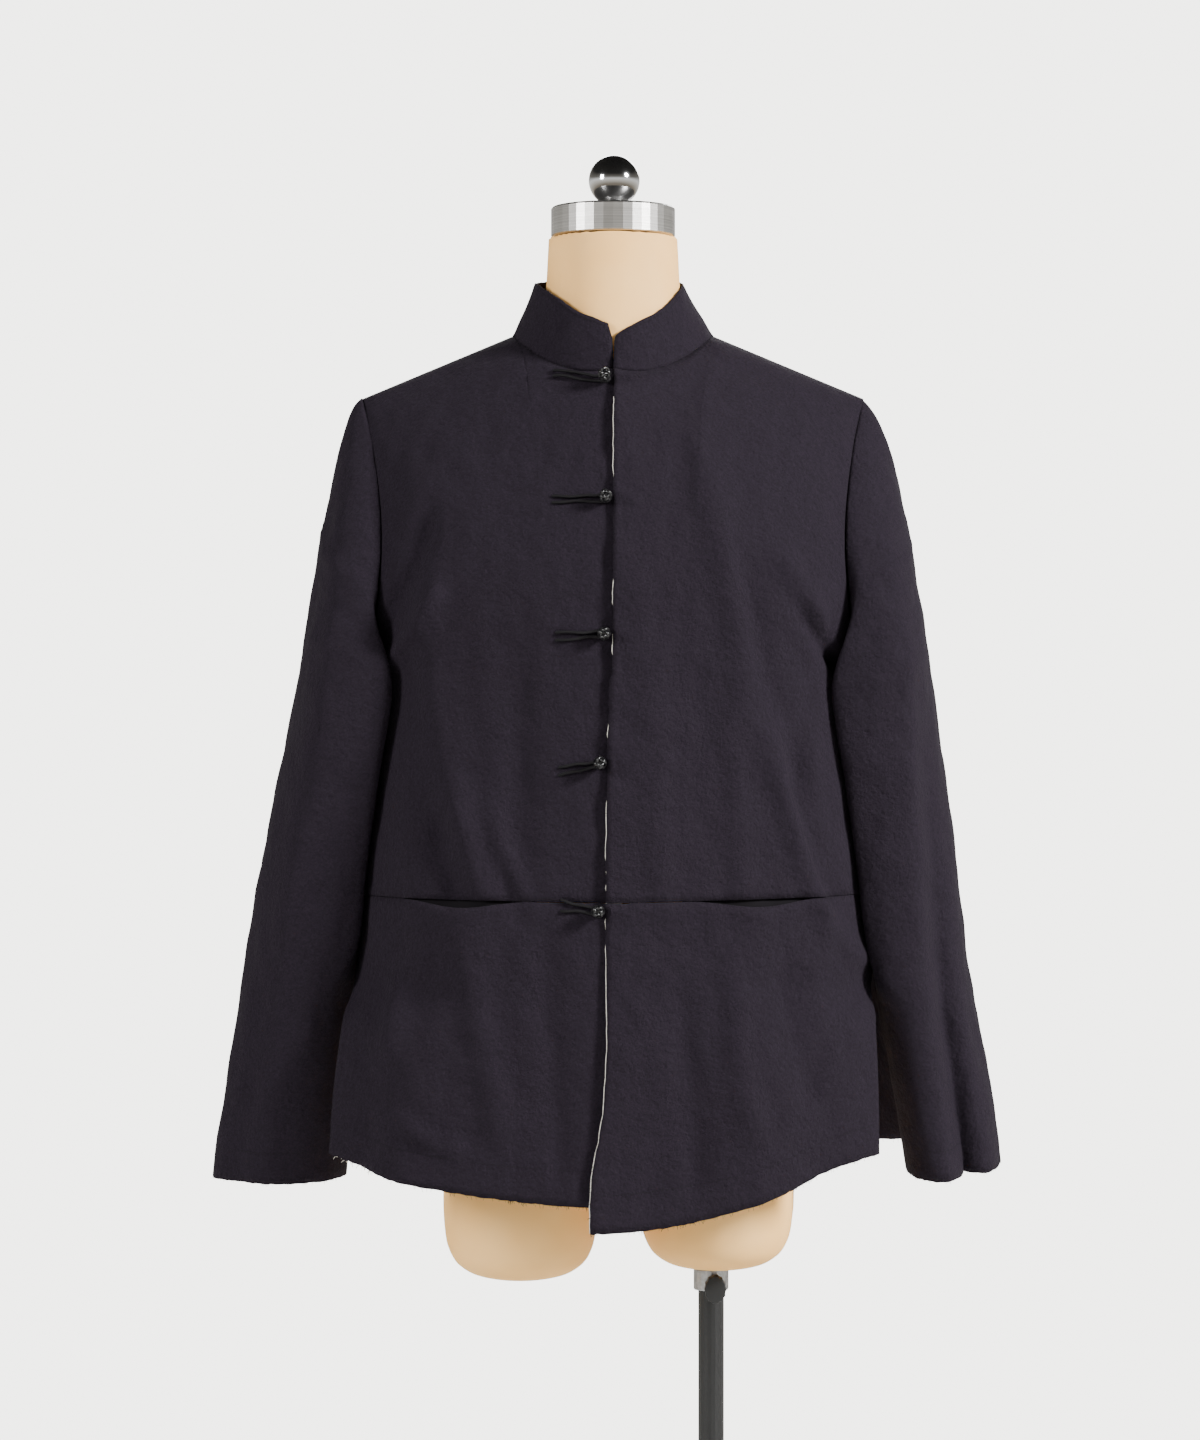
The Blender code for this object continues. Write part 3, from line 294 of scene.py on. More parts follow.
CLOTH = 0.0010
NECK_HALF, TIP_HALF = 0.086, 0.2155
MIDDLE_Y, SHOULDER_Y = -0.004, 0.005
WAIST_SEAM, VENT_TOP, UNDERARM, CHEST = 0.979, 0.928, 1.169, 1.228
NECK_PIT, NECK_BACK, NECK_SIDE = 1.427, 1.472, 1.460
SHOULDER_FALL, BACK_NECK_RISE = 0.417, 0.62
SQUARENESS, FRONT_FALL, BACK_FALL, BELOW_CHEST = 2.4, 1.25, (0.75, 0.9), 0.3
UNDERLAP, LAP_RISE, LAP_REACH, NECK_LAP_RISE = 0.012, 0.005, 0.060, 0.0034
MOUTH_RIGHT, MOUTH_LEFT = (0.0695, 0.1795), (0.0630, 0.1770)
MOUTH_SAG, MOUTH_GAPE = 0.0058, 0.0055
NECK_STEPS, SHOULDER_STEPS, SIDE_ROWS, CAP_STEPS, SKIRT_ROWS = 5, 6, 5, 9, 6
STEPS = NECK_STEPS + SHOULDER_STEPS
FINE = 6                  # grid steps of the fine cloth to one of the pattern's
EVENINGS = 5              # passes that even out the grid before it is creased

# Half-widths, depths, and how far round each quarter reaches in degrees.
BODY = table(
    "z front_right front_left back_right back_left deep_front deep_back "
    "reach_front reach_back_right reach_back_left",
    (
        (0.700, 0.2745, 0.2545, 0.2225, 0.2720, 0.155, 0.134, 59, 75, 80),
        (0.762, 0.2718, 0.2530, 0.2220, 0.2680, 0.153, 0.133, 59, 75, 80),
        (0.815, 0.2654, 0.2505, 0.2195, 0.2520, 0.150, 0.131, 60, 75, 81),
        (0.860, 0.2561, 0.2460, 0.2190, 0.2375, 0.148, 0.129, 61.5, 76, 83),
        (0.880, 0.2464, 0.2395, 0.2190, 0.2310, 0.147, 0.128, 65, 78, 85),
        (0.902, 0.2254, 0.2235, 0.2190, 0.2265, 0.145, 0.127, 76, 84, 87),
        (0.928, 0.2190, 0.2230, 0.2190, 0.2230, 0.143, 0.126, 90, 90, 90),
        (0.975, 0.2160, 0.2190, 0.2160, 0.2190, 0.140, 0.124, 90, 90, 90),
        (1.080, 0.2065, 0.2085, 0.2065, 0.2085, 0.133, 0.120, 90, 90, 90),
        (1.169, 0.2015, 0.2025, 0.2015, 0.2025, 0.128, 0.117, 90, 90, 90),
        (1.228, 0.2190, 0.2190, 0.2190, 0.2190, 0.126, 0.114, 90, 90, 90),
    ),
)
# Large folds: from one turn and height to another, their half-width (degrees) and height.
FOLDS = table(
    "side front turn_top turn_low z_top z_low spread out",
    (
        (-1, 1, 30, 36, 1.10, 0.72, 7, 0.0070),
        (-1, 1, 52, 50, 1.02, 0.74, 7, -0.0060),
        (-1, 1, 12, 14, 0.95, 0.70, 6, -0.0030),
        (-1, 1, 62, 46, 1.15, 0.98, 6, 0.0040),
        (1, 1, 27, 48, 1.27, 0.99, 6, 0.0050),
        (1, 1, 22, 24, 0.95, 0.70, 7, 0.0060),
        (1, 1, 40, 42, 0.96, 0.74, 7, -0.0060),
        (-1, 0, 16, 20, 1.20, 0.74, 8, 0.0070),
        (-1, 0, 42, 45, 1.10, 0.74, 8, -0.0060),
        (1, 0, 13, 16, 1.15, 0.74, 8, 0.0060),
        (1, 0, 38, 44, 1.12, 0.74, 8, -0.0070),
    ),
)
EDGE = table(
    "z x",
    (
        (0.700, -0.0193), (0.743, -0.0190), (0.766, -0.0160), (0.803, -0.0094),
        (0.860, -0.0058), (0.980, -0.0066), (1.146, -0.0040), (1.230, -0.0010),
        (1.430, 0.0005),
    ),
)
ARMHOLE = table(
    "rise x",
    (
        (0.00, 0.2015), (0.10, 0.2025), (0.25, 0.1980), (0.40, 0.1950),
        (0.55, 0.1955), (0.70, 0.1995), (0.85, 0.2060), (1.00, 0.2155),
    ),
)


def ease(t):
    t = min(max(t, 0.0), 1.0)
    return t * t * (3 - 2 * t)


def power(base, exponent):
    return math.copysign(abs(base) ** exponent, base)


def quarter(side, front):
    return ("front_" if front else "back_") + ("left" if side > 0 else "right")


def half_width(side, front, z):
    return value(BODY, quarter(side, front), z)


def depth(front, z):
    return value(BODY, "deep_front" if front else "deep_back", z)


def reach(side, front, z):
    if z >= VENT_TOP:
        return 90.0
    return value(BODY, "reach_front" if front else "reach_" + quarter(side, front), z)


def turn_of(x, half):
    return math.degrees(math.asin(power(min(max(x / half, -1), 1), SQUARENESS / 2)))


def shoulder_top(x, front):
    slope = SHOULDER_FALL if front or abs(x) > NECK_HALF else BACK_NECK_RISE
    return NECK_SIDE - slope * (abs(x) - NECK_HALF)


def fold_out(side, front, turn, z):
    out = 0.0
    for row in zip(*FOLDS.values()):
        fold_side, fold_front, turn_top, turn_low, z_top, z_low, spread, height = row
        if fold_side != side or bool(fold_front) != front or z > z_top:
            continue
        t = (z_top - z) / (z_top - z_low)
        middle = turn_top + (turn_low - turn_top) * min(t, 1)
        fade = math.exp(-((max(t - 1, 0) / 0.2) ** 2))
        out += height * ease(t) * fade * math.exp(-(((turn - middle) / spread) ** 2))
    return out


def body_point(side, front, turn, level):
    """A point of the body's cloth; level is 0 at the chest and 1 on the shoulder's line."""
    across = power(math.sin(math.radians(turn)), 2 / SQUARENESS)
    along = power(math.cos(math.radians(turn)), 2 / SQUARENESS)
    if level <= 0:
        z = CHEST + level * BELOW_CHEST
        x = half_width(side, front, z) * across
        y = depth(front, z) * along
        stretch = 1 + fold_out(side, front, turn, z) / math.hypot(x, y)
        return Vector((side * x * stretch, MIDDLE_Y + (-y if front else y) * stretch, z))
    climb = math.radians(90 * (1 - level))
    x = half_width(side, front, CHEST) * across
    chest_y = MIDDLE_Y + depth(front, CHEST) * (-along if front else along)
    fall_y, fall_z = (FRONT_FALL, FRONT_FALL) if front else BACK_FALL
    y = SHOULDER_Y + (chest_y - SHOULDER_Y) * math.sin(climb) ** fall_y
    z = CHEST + (shoulder_top(x, front) - CHEST) * max(math.cos(climb), 0) ** fall_z
    push = fold_out(side, front, turn, z)
    return Vector((side * x, y - push if front else y + push, z))


def level_at(x, z, front):
    if z <= CHEST:
        return (z - CHEST) / BELOW_CHEST
    share = min((z - CHEST) / (shoulder_top(x, front) - CHEST), 1)
    fall = FRONT_FALL if front else BACK_FALL[1]
    return 1 - math.degrees(math.acos(share ** (1 / fall))) / 90


def lap_rise(x, z):
    rise = NECK_LAP_RISE + (LAP_RISE - NECK_LAP_RISE) * ease((NECK_PIT - z) / 0.04)
    return rise * (1 - ease((x - value(EDGE, "x", z)) / LAP_REACH))


def armhole(side, front, rise):
    tip = NECK_SIDE - SHOULDER_FALL * (TIP_HALF - NECK_HALF)
    z = UNDERARM + (tip - UNDERARM) * rise
    x = value(ARMHOLE, "x", rise)
    if rise <= 0:
        return 90.0, level_at(x, z, front)
    return turn_of(x, half_width(side, front, min(z, CHEST))), level_at(x, z, front)


def cap_rise(row):
    low = min(math.floor(row), CAP_STEPS - 1)
    start, end = ((1 - math.cos(math.pi * n / CAP_STEPS)) / 2 for n in (low, low + 1))
    return start + (end - start) * (row - low)


def neck_level(x, front):
    middle = 1 - level_at(0, NECK_PIT if front else NECK_BACK, front)
    across = min(abs(x) / NECK_HALF, 1)
    return 1 - middle * math.sqrt(1 - across ** 2)


def spaced(step):
    """Share of the turn at a pattern step, closer together towards the neck's corner."""
    half = value(BODY, "front_left", CHEST)
    low = math.floor(min(step, NECK_STEPS))
    start, end = (math.sin(math.pi / 2 * min(n / NECK_STEPS, 1)) for n in (low, low + 1))
    across = start + (end - start) * (min(step, NECK_STEPS) - low)
    share = turn_of(NECK_HALF * across, half) / turn_of(TIP_HALF, half)
    return share + (1 - share) * max(step - NECK_STEPS, 0) / SHOULDER_STEPS


def inner_x(side, front, z):
    if not front:
        return 0.0
    edge = value(EDGE, "x", z)
    if side > 0:
        return edge
    return edge + UNDERLAP * ease((NECK_PIT - z) / 0.03) - 0.0003


def top_level(front, start, half, step):
    """Level of the neckline at a step, straight over the last one to the shoulder seam."""
    def neckline(n):
        turn = start + (turn_of(TIP_HALF, half) - start) * spaced(n)
        return neck_level(half * power(math.sin(math.radians(turn)), 2 / SQUARENESS), front)

    last = NECK_STEPS - 1
    if step >= NECK_STEPS:
        return 1.0
    if step <= last:
        return neckline(step)
    return neckline(last) + (1 - neckline(last)) * (step - last)


def upper_point(side, front, step, row):
    share = spaced(step)
    reach_here, level_here = armhole(side, front, cap_rise(row))
    bottom = level_at(0, UNDERARM, front)
    climbed = (level_here - bottom) / (1 - bottom)
    half = half_width(side, front, CHEST)
    start = turn_of(side * inner_x(side, front, CHEST + climbed * (NECK_PIT - CHEST)), half)
    turn = start + (reach_here - start) * share
    return turn, bottom + (top_level(front, start, half, step) - bottom) * climbed


def side_point(side, front, step, z):
    start = turn_of(side * inner_x(side, front, z), half_width(side, front, z))
    return start + (reach(side, front, z) - start) * spaced(step), (z - CHEST) / BELOW_CHEST


def in_mouth(side, x):
    start, end = MOUTH_LEFT if side > 0 else MOUTH_RIGHT
    t = (abs(x) - start) / (end - start)
    return math.sin(math.pi * t) ** 2 if 0 < t < 1 else 0.0


def hem_height(side, front, share):
    if not front:
        return 0.757 + 0.010 * share ** 2
    if side > 0:
        return 0.708 + 0.059 * ease(share * 0.95) ** 0.9
    return 0.729 + 0.038 * share ** 1.4


def waist(side, step):
    x = body_point(side, True, *side_point(side, True, step, WAIST_SEAM)).x
    return WAIST_SEAM + 0.004 * min(abs(x) / 0.2, 1) * (1 if side > 0 else 0.7), x


def lifted(side, point):
    if side > 0:
        point.y -= lap_rise(point.x, point.z)
    return point


def upper_front(side, step, row):
    if row < SIDE_ROWS:
        low, _ = waist(side, step)
        turn, level = side_point(side, True, step, low + (UNDERARM - low) * row / SIDE_ROWS)
    else:
        turn, level = upper_point(side, True, step, row - SIDE_ROWS)
    return lifted(side, body_point(side, True, turn, level))


def lower_front(side, step, row, gaping=True):
    foot = hem_height(side, True, spaced(step))
    seam, seam_x = waist(side, step)
    mouth = in_mouth(side, seam_x) if gaping else 0.0
    top = seam - 0.0004 - MOUTH_SAG * mouth
    climbed = row / SKIRT_ROWS
    point = body_point(side, True, *side_point(side, True, step, foot + (top - foot) * climbed))
    out = Vector((point.x * 0.6, point.y - MIDDLE_Y, 0)).normalized()
    return lifted(side, point + out * MOUTH_GAPE * mouth * ease((climbed - 0.6) / 0.4))


def back_point(step, row):
    side = 1 if step >= STEPS else -1
    step = abs(step - STEPS)
    below = SKIRT_ROWS + SIDE_ROWS
    if row <= below:
        foot = hem_height(side, False, spaced(step))
        turn, level = side_point(side, False, step, foot + (UNDERARM - foot) * row / below)
    else:
        turn, level = upper_point(side, False, step, row - below)
    return body_point(side, False, turn, level)


# Creases listed as lines across the cloth: from one place to another, the
# half-width and height of the ridge (a trough where it is negative), in metres.
CREASES = table(
    "front x_from z_from x_to z_to spread out",
    (
        # left front: long soft drags from the shoulder to the pocket's outer corner
        (1, 0.062, 1.375, 0.128, 1.120, 0.014, 0.0022),
        (1, 0.128, 1.120, 0.171, 0.990, 0.009, 0.0030),
        (1, 0.150, 1.130, 0.180, 0.985, 0.010, -0.0026),
        (1, 0.100, 1.270, 0.150, 1.080, 0.012, -0.0018),
        (1, 0.092, 1.200, 0.112, 1.000, 0.012, 0.0016),
        (1, 0.172, 0.985, 0.205, 0.930, 0.009, 0.0024),
        (1, 0.180, 1.215, 0.198, 1.165, 0.008, -0.0030),
        (1, 0.140, 1.270, 0.192, 1.190, 0.009, 0.0026),
        (1, 0.150, 1.235, 0.196, 1.172, 0.007, -0.0022),
        (1, 0.095, 0.930, 0.115, 0.800, 0.012, 0.0022),
        (1, 0.140, 0.945, 0.165, 0.830, 0.012, -0.0020),
        (1, 0.050, 0.905, 0.070, 0.760, 0.011, -0.0018),
        (1, 0.030, 1.180, 0.040, 1.000, 0.012, 0.0012),
        # right front: broad drops from the chest, and short ones above the pocket
        (1, -0.160, 1.250, -0.130, 1.060, 0.014, 0.0020),
        (1, -0.075, 1.200, -0.085, 1.000, 0.014, -0.0016),
        (1, -0.125, 1.075, -0.110, 0.990, 0.009, 0.0024),
        (1, -0.098, 1.060, -0.080, 0.990, 0.008, 0.0020),
        (1, -0.145, 1.050, -0.135, 0.990, 0.008, -0.0018),
        (1, -0.196, 1.165, -0.150, 1.235, 0.008, 0.0028),
        (1, -0.192, 1.205, -0.160, 1.290, 0.009, -0.0022),
        (1, -0.118, 0.955, -0.098, 0.800, 0.013, 0.0022),
        (1, -0.160, 0.945, -0.185, 0.860, 0.010, 0.0024),
        (1, -0.055, 0.960, -0.050, 0.770, 0.012, -0.0016),
        (1, -0.182, 0.800, -0.130, 0.778, 0.005, 0.0018),
        # back: drags down from the shoulder blades and in to the waist
        (0, 0.120, 1.330, 0.085, 1.090, 0.016, 0.0024),
        (0, -0.115, 1.320, -0.080, 1.080, 0.016, 0.0022),
        (0, 0.190, 1.190, 0.120, 1.080, 0.010, -0.0024),
        (0, -0.188, 1.185, -0.125, 1.090, 0.010, -0.0026),
        (0, 0.185, 1.230, 0.140, 1.150, 0.009, 0.0024),
        (0, -0.185, 1.230, -0.135, 1.140, 0.009, 0.0022),
        (0, 0.030, 1.250, 0.022, 0.900, 0.014, -0.0018),
        (0, -0.045, 1.180, -0.050, 0.850, 0.014, 0.0020),
        (0, 0.085, 1.000, 0.105, 0.790, 0.013, 0.0024),
        (0, -0.100, 0.990, -0.130, 0.800, 0.012, -0.0022),
    ),
)


CREASE_GAIN = 2.7


def crease_out(front, x, z):
    out = 0.0
    for row in zip(*CREASES.values()):
        on_front, x_from, z_from, x_to, z_to, spread, height = row
        if bool(on_front) != front:
            continue
        along = Vector((x_to - x_from, z_to - z_from))
        off = Vector((x - x_from, z - z_from))
        t = off.dot(along) / along.length_squared
        if not -0.3 < t < 1.3:
            continue
        bow = 0.004 * math.sin(3 * t + 20 * x_from)
        away = (off.x * along.y - off.y * along.x) / along.length + bow
        taper = math.exp(-((max(-t, 0) + max(t - 1, 0)) / 0.16) ** 2) * ease(0.4 + 2 * t)
        out += CREASE_GAIN * height * taper * math.exp(-((away / spread) ** 2))
    return out


def crinkle(point, seed):
    """The slack of worn cotton: soft swells, and the small puckers of crepe cloth."""
    swell = noise.noise(Vector((point.x * 13, point.y * 13, point.z * 8)) + Vector((seed, 0, 0)))
    small = noise.noise(Vector((point.x * 60, point.y * 60, point.z * 34)) + Vector((0, seed, 0)))
    fine = noise.noise(Vector((point.x * 170, point.y * 170, point.z * 120)))
    return 0.0028 * swell + 0.0015 * small + 0.00026 * fine


def cloth_sheet(name, across, up, place, made, replaces, out=None, closed=False,
                wall=CLOTH, fray=(), hold=None, way=None):
    """A sheet of cloth: a fine grid laid out by place(step, row), in pattern steps, then
    creased along its own normals. It has a map in metres, so its weave lies along it."""
    count_x, count_y = round(across * FINE), round(up * FINE)
    bm = bmesh.new()
    place_of = bm.verts.layers.int.new("place")
    bmesh.ops.create_grid(bm, x_segments=count_x, y_segments=count_y, size=0.5)
    weave = bm.loops.layers.uv.new("weave")
    rows = {}
    for vert in bm.verts:
        i, k = round((vert.co.x + 0.5) * count_x), round((vert.co.y + 0.5) * count_y)
        vert[place_of] = i * 1000 + k
        vert.co = place(i * across / count_x, k * up / count_y)
        rows[i, k] = vert.co.copy()
    middle_i, middle_k = count_x // 2, count_y // 2
    run_x, run_y = [0.0], [0.0]
    for i in range(count_x):
        run_x.append(run_x[-1] + (rows[i + 1, middle_k] - rows[i, middle_k]).length)
    for k in range(count_y):
        run_y.append(run_y[-1] + (rows[middle_i, k + 1] - rows[middle_i, k]).length)
    for face in bm.faces:
        for loop in face.loops:
            i, k = divmod(loop.vert[place_of], 1000)
            loop[weave].uv = (run_x[i], run_y[k])
    bm.normal_update()
    centre = sum((v.co for v in bm.verts), Vector()) / len(bm.verts)
    if not closed:
        centre = Vector((0, 0, centre.z))
    if sum((v.co - centre).dot(v.normal) for v in bm.verts) < 0:
        bmesh.ops.reverse_faces(bm, faces=bm.faces)
    if closed:
        bmesh.ops.remove_doubles(bm, verts=bm.verts, dist=1e-6)
    for _ in range(EVENINGS):
        bmesh.ops.smooth_vert(bm, verts=[v for v in bm.verts if not v.is_boundary], factor=0.5,
                              use_axis_x=True, use_axis_y=True, use_axis_z=True)
    bm.normal_update()
    moves = {}
    for vert in bm.verts:
        i, k = divmod(vert[place_of], 1000)
        normal = way(vert.co) if way else vert.normal
        push = out(vert.co) if out else 0.0
        if hold:
            push *= hold(i * across / count_x, k * up / count_y)
        moves[vert] = normal * push
    ragged = random.Random(name)
    for vert in bm.verts:
        vert.co += moves[vert]
    for vert in bm.verts:
        if vert.is_boundary and any(test(vert.co) for test in fray):
            near = [e.other_vert(vert).co for e in vert.link_edges if not e.is_boundary]
            if near:
                vert.co += (vert.co - near[0]).normalized() * ragged.uniform(-0.0004, 0.0005)
    bm.normal_update()
    kept = {divmod(vert[place_of], 1000): (vert.co.copy(), vert.normal.copy())
            for vert in bm.verts}
    for k in range(count_y + 1):
        for i, other in ((0, count_x), (count_x, 0)):
            kept[i, k] = kept.get((i, k)) or kept[other, k]
    grids[name] = (kept, count_x, count_y)
    obj = piece_from(name, bm, made, replaces)
    thickness = obj.modifiers.new("wall", "SOLIDIFY")
    thickness.thickness = wall
    thickness.offset = 0
    return obj


# Crepe-woven cotton, dyed black with a trace of plum. High-twist yarns about 0.5 mm apart
# pucker into a fine grain; the weave is drawn at 0.9 mm so that it shows.
cotton, cotton_shader = surface("black_crepe_cotton", 0.88, base="#19141B", specular=0.14,
                                sheen_weight=0.04, sheen_roughness=0.4,
                                sheen_tint=colour("#8C8292"))
weave_map = node(cotton, "ShaderNodeUVMap", uv_map="weave").outputs["UV"]
spot = node(cotton, "ShaderNodeTexCoord").outputs["Object"]
warp = node(cotton, "ShaderNodeTexWave", [("Vector", weave_map)], bands_direction="X",
            scale=350.0, distortion=1.6, detail=2.0, detail_scale=1.5)
weft = node(cotton, "ShaderNodeTexWave", [("Vector", weave_map)], bands_direction="Y",
            scale=350.0, distortion=1.6, detail=2.0, detail_scale=1.5)
threads = node(cotton, "ShaderNodeMath",
               [(0, warp.outputs["Fac"]), (1, weft.outputs["Fac"])], operation="ADD")
pucker = node(cotton, "ShaderNodeTexNoise", [("Vector", spot)], scale=260.0, detail=5.0,
              roughness=0.62)
slack = node(cotton, "ShaderNodeTexNoise", [("Vector", spot)], scale=48.0, detail=4.0,
             roughness=0.55)
wear = node(cotton, "ShaderNodeTexNoise", [("Vector", spot)], scale=620.0, detail=3.0,
            roughness=0.7)
node(cotton, "ShaderNodeValToRGB", [("Fac", wear.outputs["Fac"])],
     cotton_shader.inputs["Base Color"], ((0.3, "#140F16"), (0.7, "#201923")))
waves = node(cotton, "ShaderNodeBump", [("Height", slack.outputs["Fac"])],
             distance=0.0060, strength=0.6)
crepe = node(cotton, "ShaderNodeBump",
             [("Height", pucker.outputs["Fac"]), ("Normal", waves.outputs["Normal"])],
             distance=0.0020, strength=0.9)
node(cotton, "ShaderNodeBump",
     [("Height", threads.outputs["Value"]), ("Normal", crepe.outputs["Normal"])],
     cotton_shader.inputs["Normal"], distance=0.00012, strength=0.6)


def body_out(front, seed):
    def out(point):
        return crease_out(front, point.x, point.z) + crinkle(point, seed)
    return out


def way_out(side, front, x, z):
    """Out of the body's cloth at x and z."""
    turn = turn_of(x * side, half_width(side, front, min(z, CHEST)))
    level = level_at(x, z, front)
    here = body_point(side, front, turn, level)
    beside = body_point(side, front, turn + 1, level) - here
    above = here - body_point(side, front, turn, level - 0.01)
    normal = beside.cross(above).normalized()
    return normal * math.copysign(1, normal.y * (-1 if front else 1) + 0.3 * normal.z)


def seam_hold(side_on, top):
    """Creases die away towards the seams of the shoulder, neck and armhole."""
    def hold(step, row):
        beside = ease((STEPS - abs(step - side_on)) / 1.2)
        low = top - CAP_STEPS
        return ease((top - row) / 1.6) * (beside if row > low else 0.35 + 0.65 * beside)
    return hold


sheets, grids = {}, {}
for side, word in ((-1, "right"), (1, "left")):
    sheets[f"front_{word}_upper"] = cloth_sheet(
        f"front_{word}_above_waist", STEPS, SIDE_ROWS + CAP_STEPS,
        lambda s, r, side=side: upper_front(side, s, r), cotton, [f"front_{word}_upper"],
        body_out(True, 3 * side), fray=[lambda p: abs(p.x) < 0.02],
        hold=seam_hold(0, SIDE_ROWS + CAP_STEPS),
        way=lambda p, side=side: way_out(side, True, p.x, p.z))
    sheets[f"front_{word}_lower"] = cloth_sheet(
        f"front_{word}_skirt", STEPS, SKIRT_ROWS,
        lambda s, r, side=side: lower_front(side, s, r), cotton, [f"front_{word}_lower"],
        body_out(True, 3 * side), fray=[lambda p: abs(p.x) < 0.03, lambda p: p.z < 0.80],
        hold=seam_hold(0, 99))
sheets["back"] = cloth_sheet(
    "back_panel", 2 * STEPS, SKIRT_ROWS + SIDE_ROWS + CAP_STEPS, back_point, cotton, ["back"],
    body_out(False, 11), fray=[lambda p: p.z < 0.78],
    hold=seam_hold(STEPS, SKIRT_ROWS + SIDE_ROWS + CAP_STEPS),
    way=lambda p: way_out(1 if p.x > 0 else -1, False, p.x, p.z))

# ---- Sleeves ----
# Long straight sleeves, each one piece with a single seam beneath. They are set in flat, so
# they fall from the shoulder and fold against the side of the body.

SLEEVE_RIGHT = table(
    "z x y wide deep turn crease",
    (
        (0.739, 0.2860, -0.012, 0.0570, 0.0460, 4, 0.006),
        (0.803, 0.2780, -0.008, 0.0560, 0.0530, 3, 0.005),
        (0.889, 0.2665, -0.002, 0.0540, 0.0600, 2, 0.004),
        (0.975, 0.2560, 0.000, 0.0512, 0.0685, 0, 0.003),
        (1.061, 0.2445, 0.000, 0.0475, 0.0760, 0, 0.003),
        (1.145, 0.2335, 0.000, 0.0415, 0.0850, 0, 0.002),
    ),
)
SLEEVE_LEFT = table(
    "z x y wide deep turn crease",
    (
        (0.739, 0.2939, -0.014, 0.0380, 0.0600, 19, 0.026),
        (0.803, 0.2841, -0.012, 0.0385, 0.0640, 17, 0.024),
        (0.889, 0.2688, -0.008, 0.0400, 0.0690, 14, 0.020),
        (0.975, 0.2570, -0.004, 0.0410, 0.0740, 11, 0.014),
        (1.061, 0.2485, 0.000, 0.0390, 0.0785, 7, 0.008),
        (1.145, 0.2385, 0.000, 0.0372, 0.0830, 2, 0.003),
    ),
)
CUFF, CUFF_SLOPE, CAP_FOOT = (0.741, 0.7515), (0.08, 0.19), 1.145
CREASE_TURN, CREASE_SPREAD, SLEEVE_CLEAR = 48, 17, 0.0036
HUG, HUG_FROM, HUG_OVER = (0.85, 1.0), 0.87, 0.07
TUBE_ROWS, HEAD_ROWS = 8, 7


def section_point(side, columns, turn, z):
    wide, deep = value(columns, "wide", z), value(columns, "deep", z)
    twist, angle = math.radians(value(columns, "turn", z)), math.radians(turn)
    off = (turn - CREASE_TURN + 180) % 360 - 180
    crease = value(columns, "crease", z) * math.exp(-((off / CREASE_SPREAD) ** 2))
    shrink = 1 - crease / math.hypot(wide * math.cos(angle), deep * math.sin(angle))
    outward, forward = wide * math.cos(angle) * shrink, deep * math.sin(angle) * shrink
    x = value(columns, "x", z) + outward * math.cos(twist) - forward * math.sin(twist)
    y = value(columns, "y", z) - outward * math.sin(twist) - forward * math.cos(twist)
    return Vector((side * x, y, z))


def body_beside(side, y, z):
    """How far out the body's cloth is at y and z, or None where there is none."""
    off = y - MIDDLE_Y
    front = off < 0
    deep = depth(front, min(z, CHEST))
    if z > UNDERARM or abs(off) >= deep:
        return None
    half = half_width(side, front, z)
    if z < VENT_TOP:
        turn = math.degrees(math.acos(min(abs(off) / deep, 1) ** (SQUARENESS / 2)))
        if turn > reach(side, front, z) + 4:
            if z < VENT_TOP - 0.045:
                return None
            half = half_width(side, front, VENT_TOP)
    return half * (1 - (abs(off) / deep) ** SQUARENESS) ** (1 / SQUARENESS)


def by_the_body(side, turn, point):
    """Lays a sleeve's inner side along the body, and keeps it clear of the cloth."""
    beside = body_beside(side, point.y, point.z)
    if beside is None:
        return point
    nearest, x = beside + SLEEVE_CLEAR, abs(point.x)
    inner = ease((0.35 - math.cos(math.radians(turn))) / 0.8)
    hug = HUG[side > 0] * inner * ease((point.z - HUG_FROM) / HUG_OVER)
    point.x = side * max(x + (nearest - x) * hug, nearest)
    return point


def sleeve_point(side, columns, step, row):
    turn = 180 + 360 * step / (2 * CAP_STEPS)
    cosine, sine = math.cos(math.radians(turn)), math.sin(math.radians(turn))
    if row <= TUBE_ROWS:
        cuff = CUFF[side > 0]
        z = cuff + (CAP_FOOT - cuff) * row / TUBE_ROWS
        point = section_point(side, columns, turn, z)
        tilt = CUFF_SLOPE[side > 0] * (1 - row / TUBE_ROWS)
        point.z += tilt * (point.y - value(columns, "y", z))
        return by_the_body(side, turn, point)
    foot = by_the_body(side, turn, section_point(side, columns, turn, CAP_FOOT))
    below = section_point(side, columns, turn, CAP_FOOT - 0.02)
    top = body_point(side, sine > 0, *armhole(side, sine > 0, (1 + cosine) / 2))
    top.x += side * (SLEEVE_CLEAR * (1 - cosine) / 2 - 0.0002)
    leave = Vector((side * 0.9 * math.sqrt(max((1 + cosine) / 2, 0)), -0.45 * sine,
                    -0.43 - 0.57 * (1 - cosine) / 2)).normalized()
    arrive = (foot - by_the_body(side, turn, below)).normalized()
    span = (top - foot).length
    start_handle = top + leave * span * (0.30 - 0.20 * max(cosine, 0))
    end_handle = foot + arrive * span * (0.36 + 0.10 * max(cosine, 0))
    t = (row - TUBE_ROWS) / HEAD_ROWS
    return (foot * (1 - t) ** 3 + end_handle * 3 * t * (1 - t) ** 2
            + start_handle * 3 * t * t * (1 - t) + top * t ** 3)


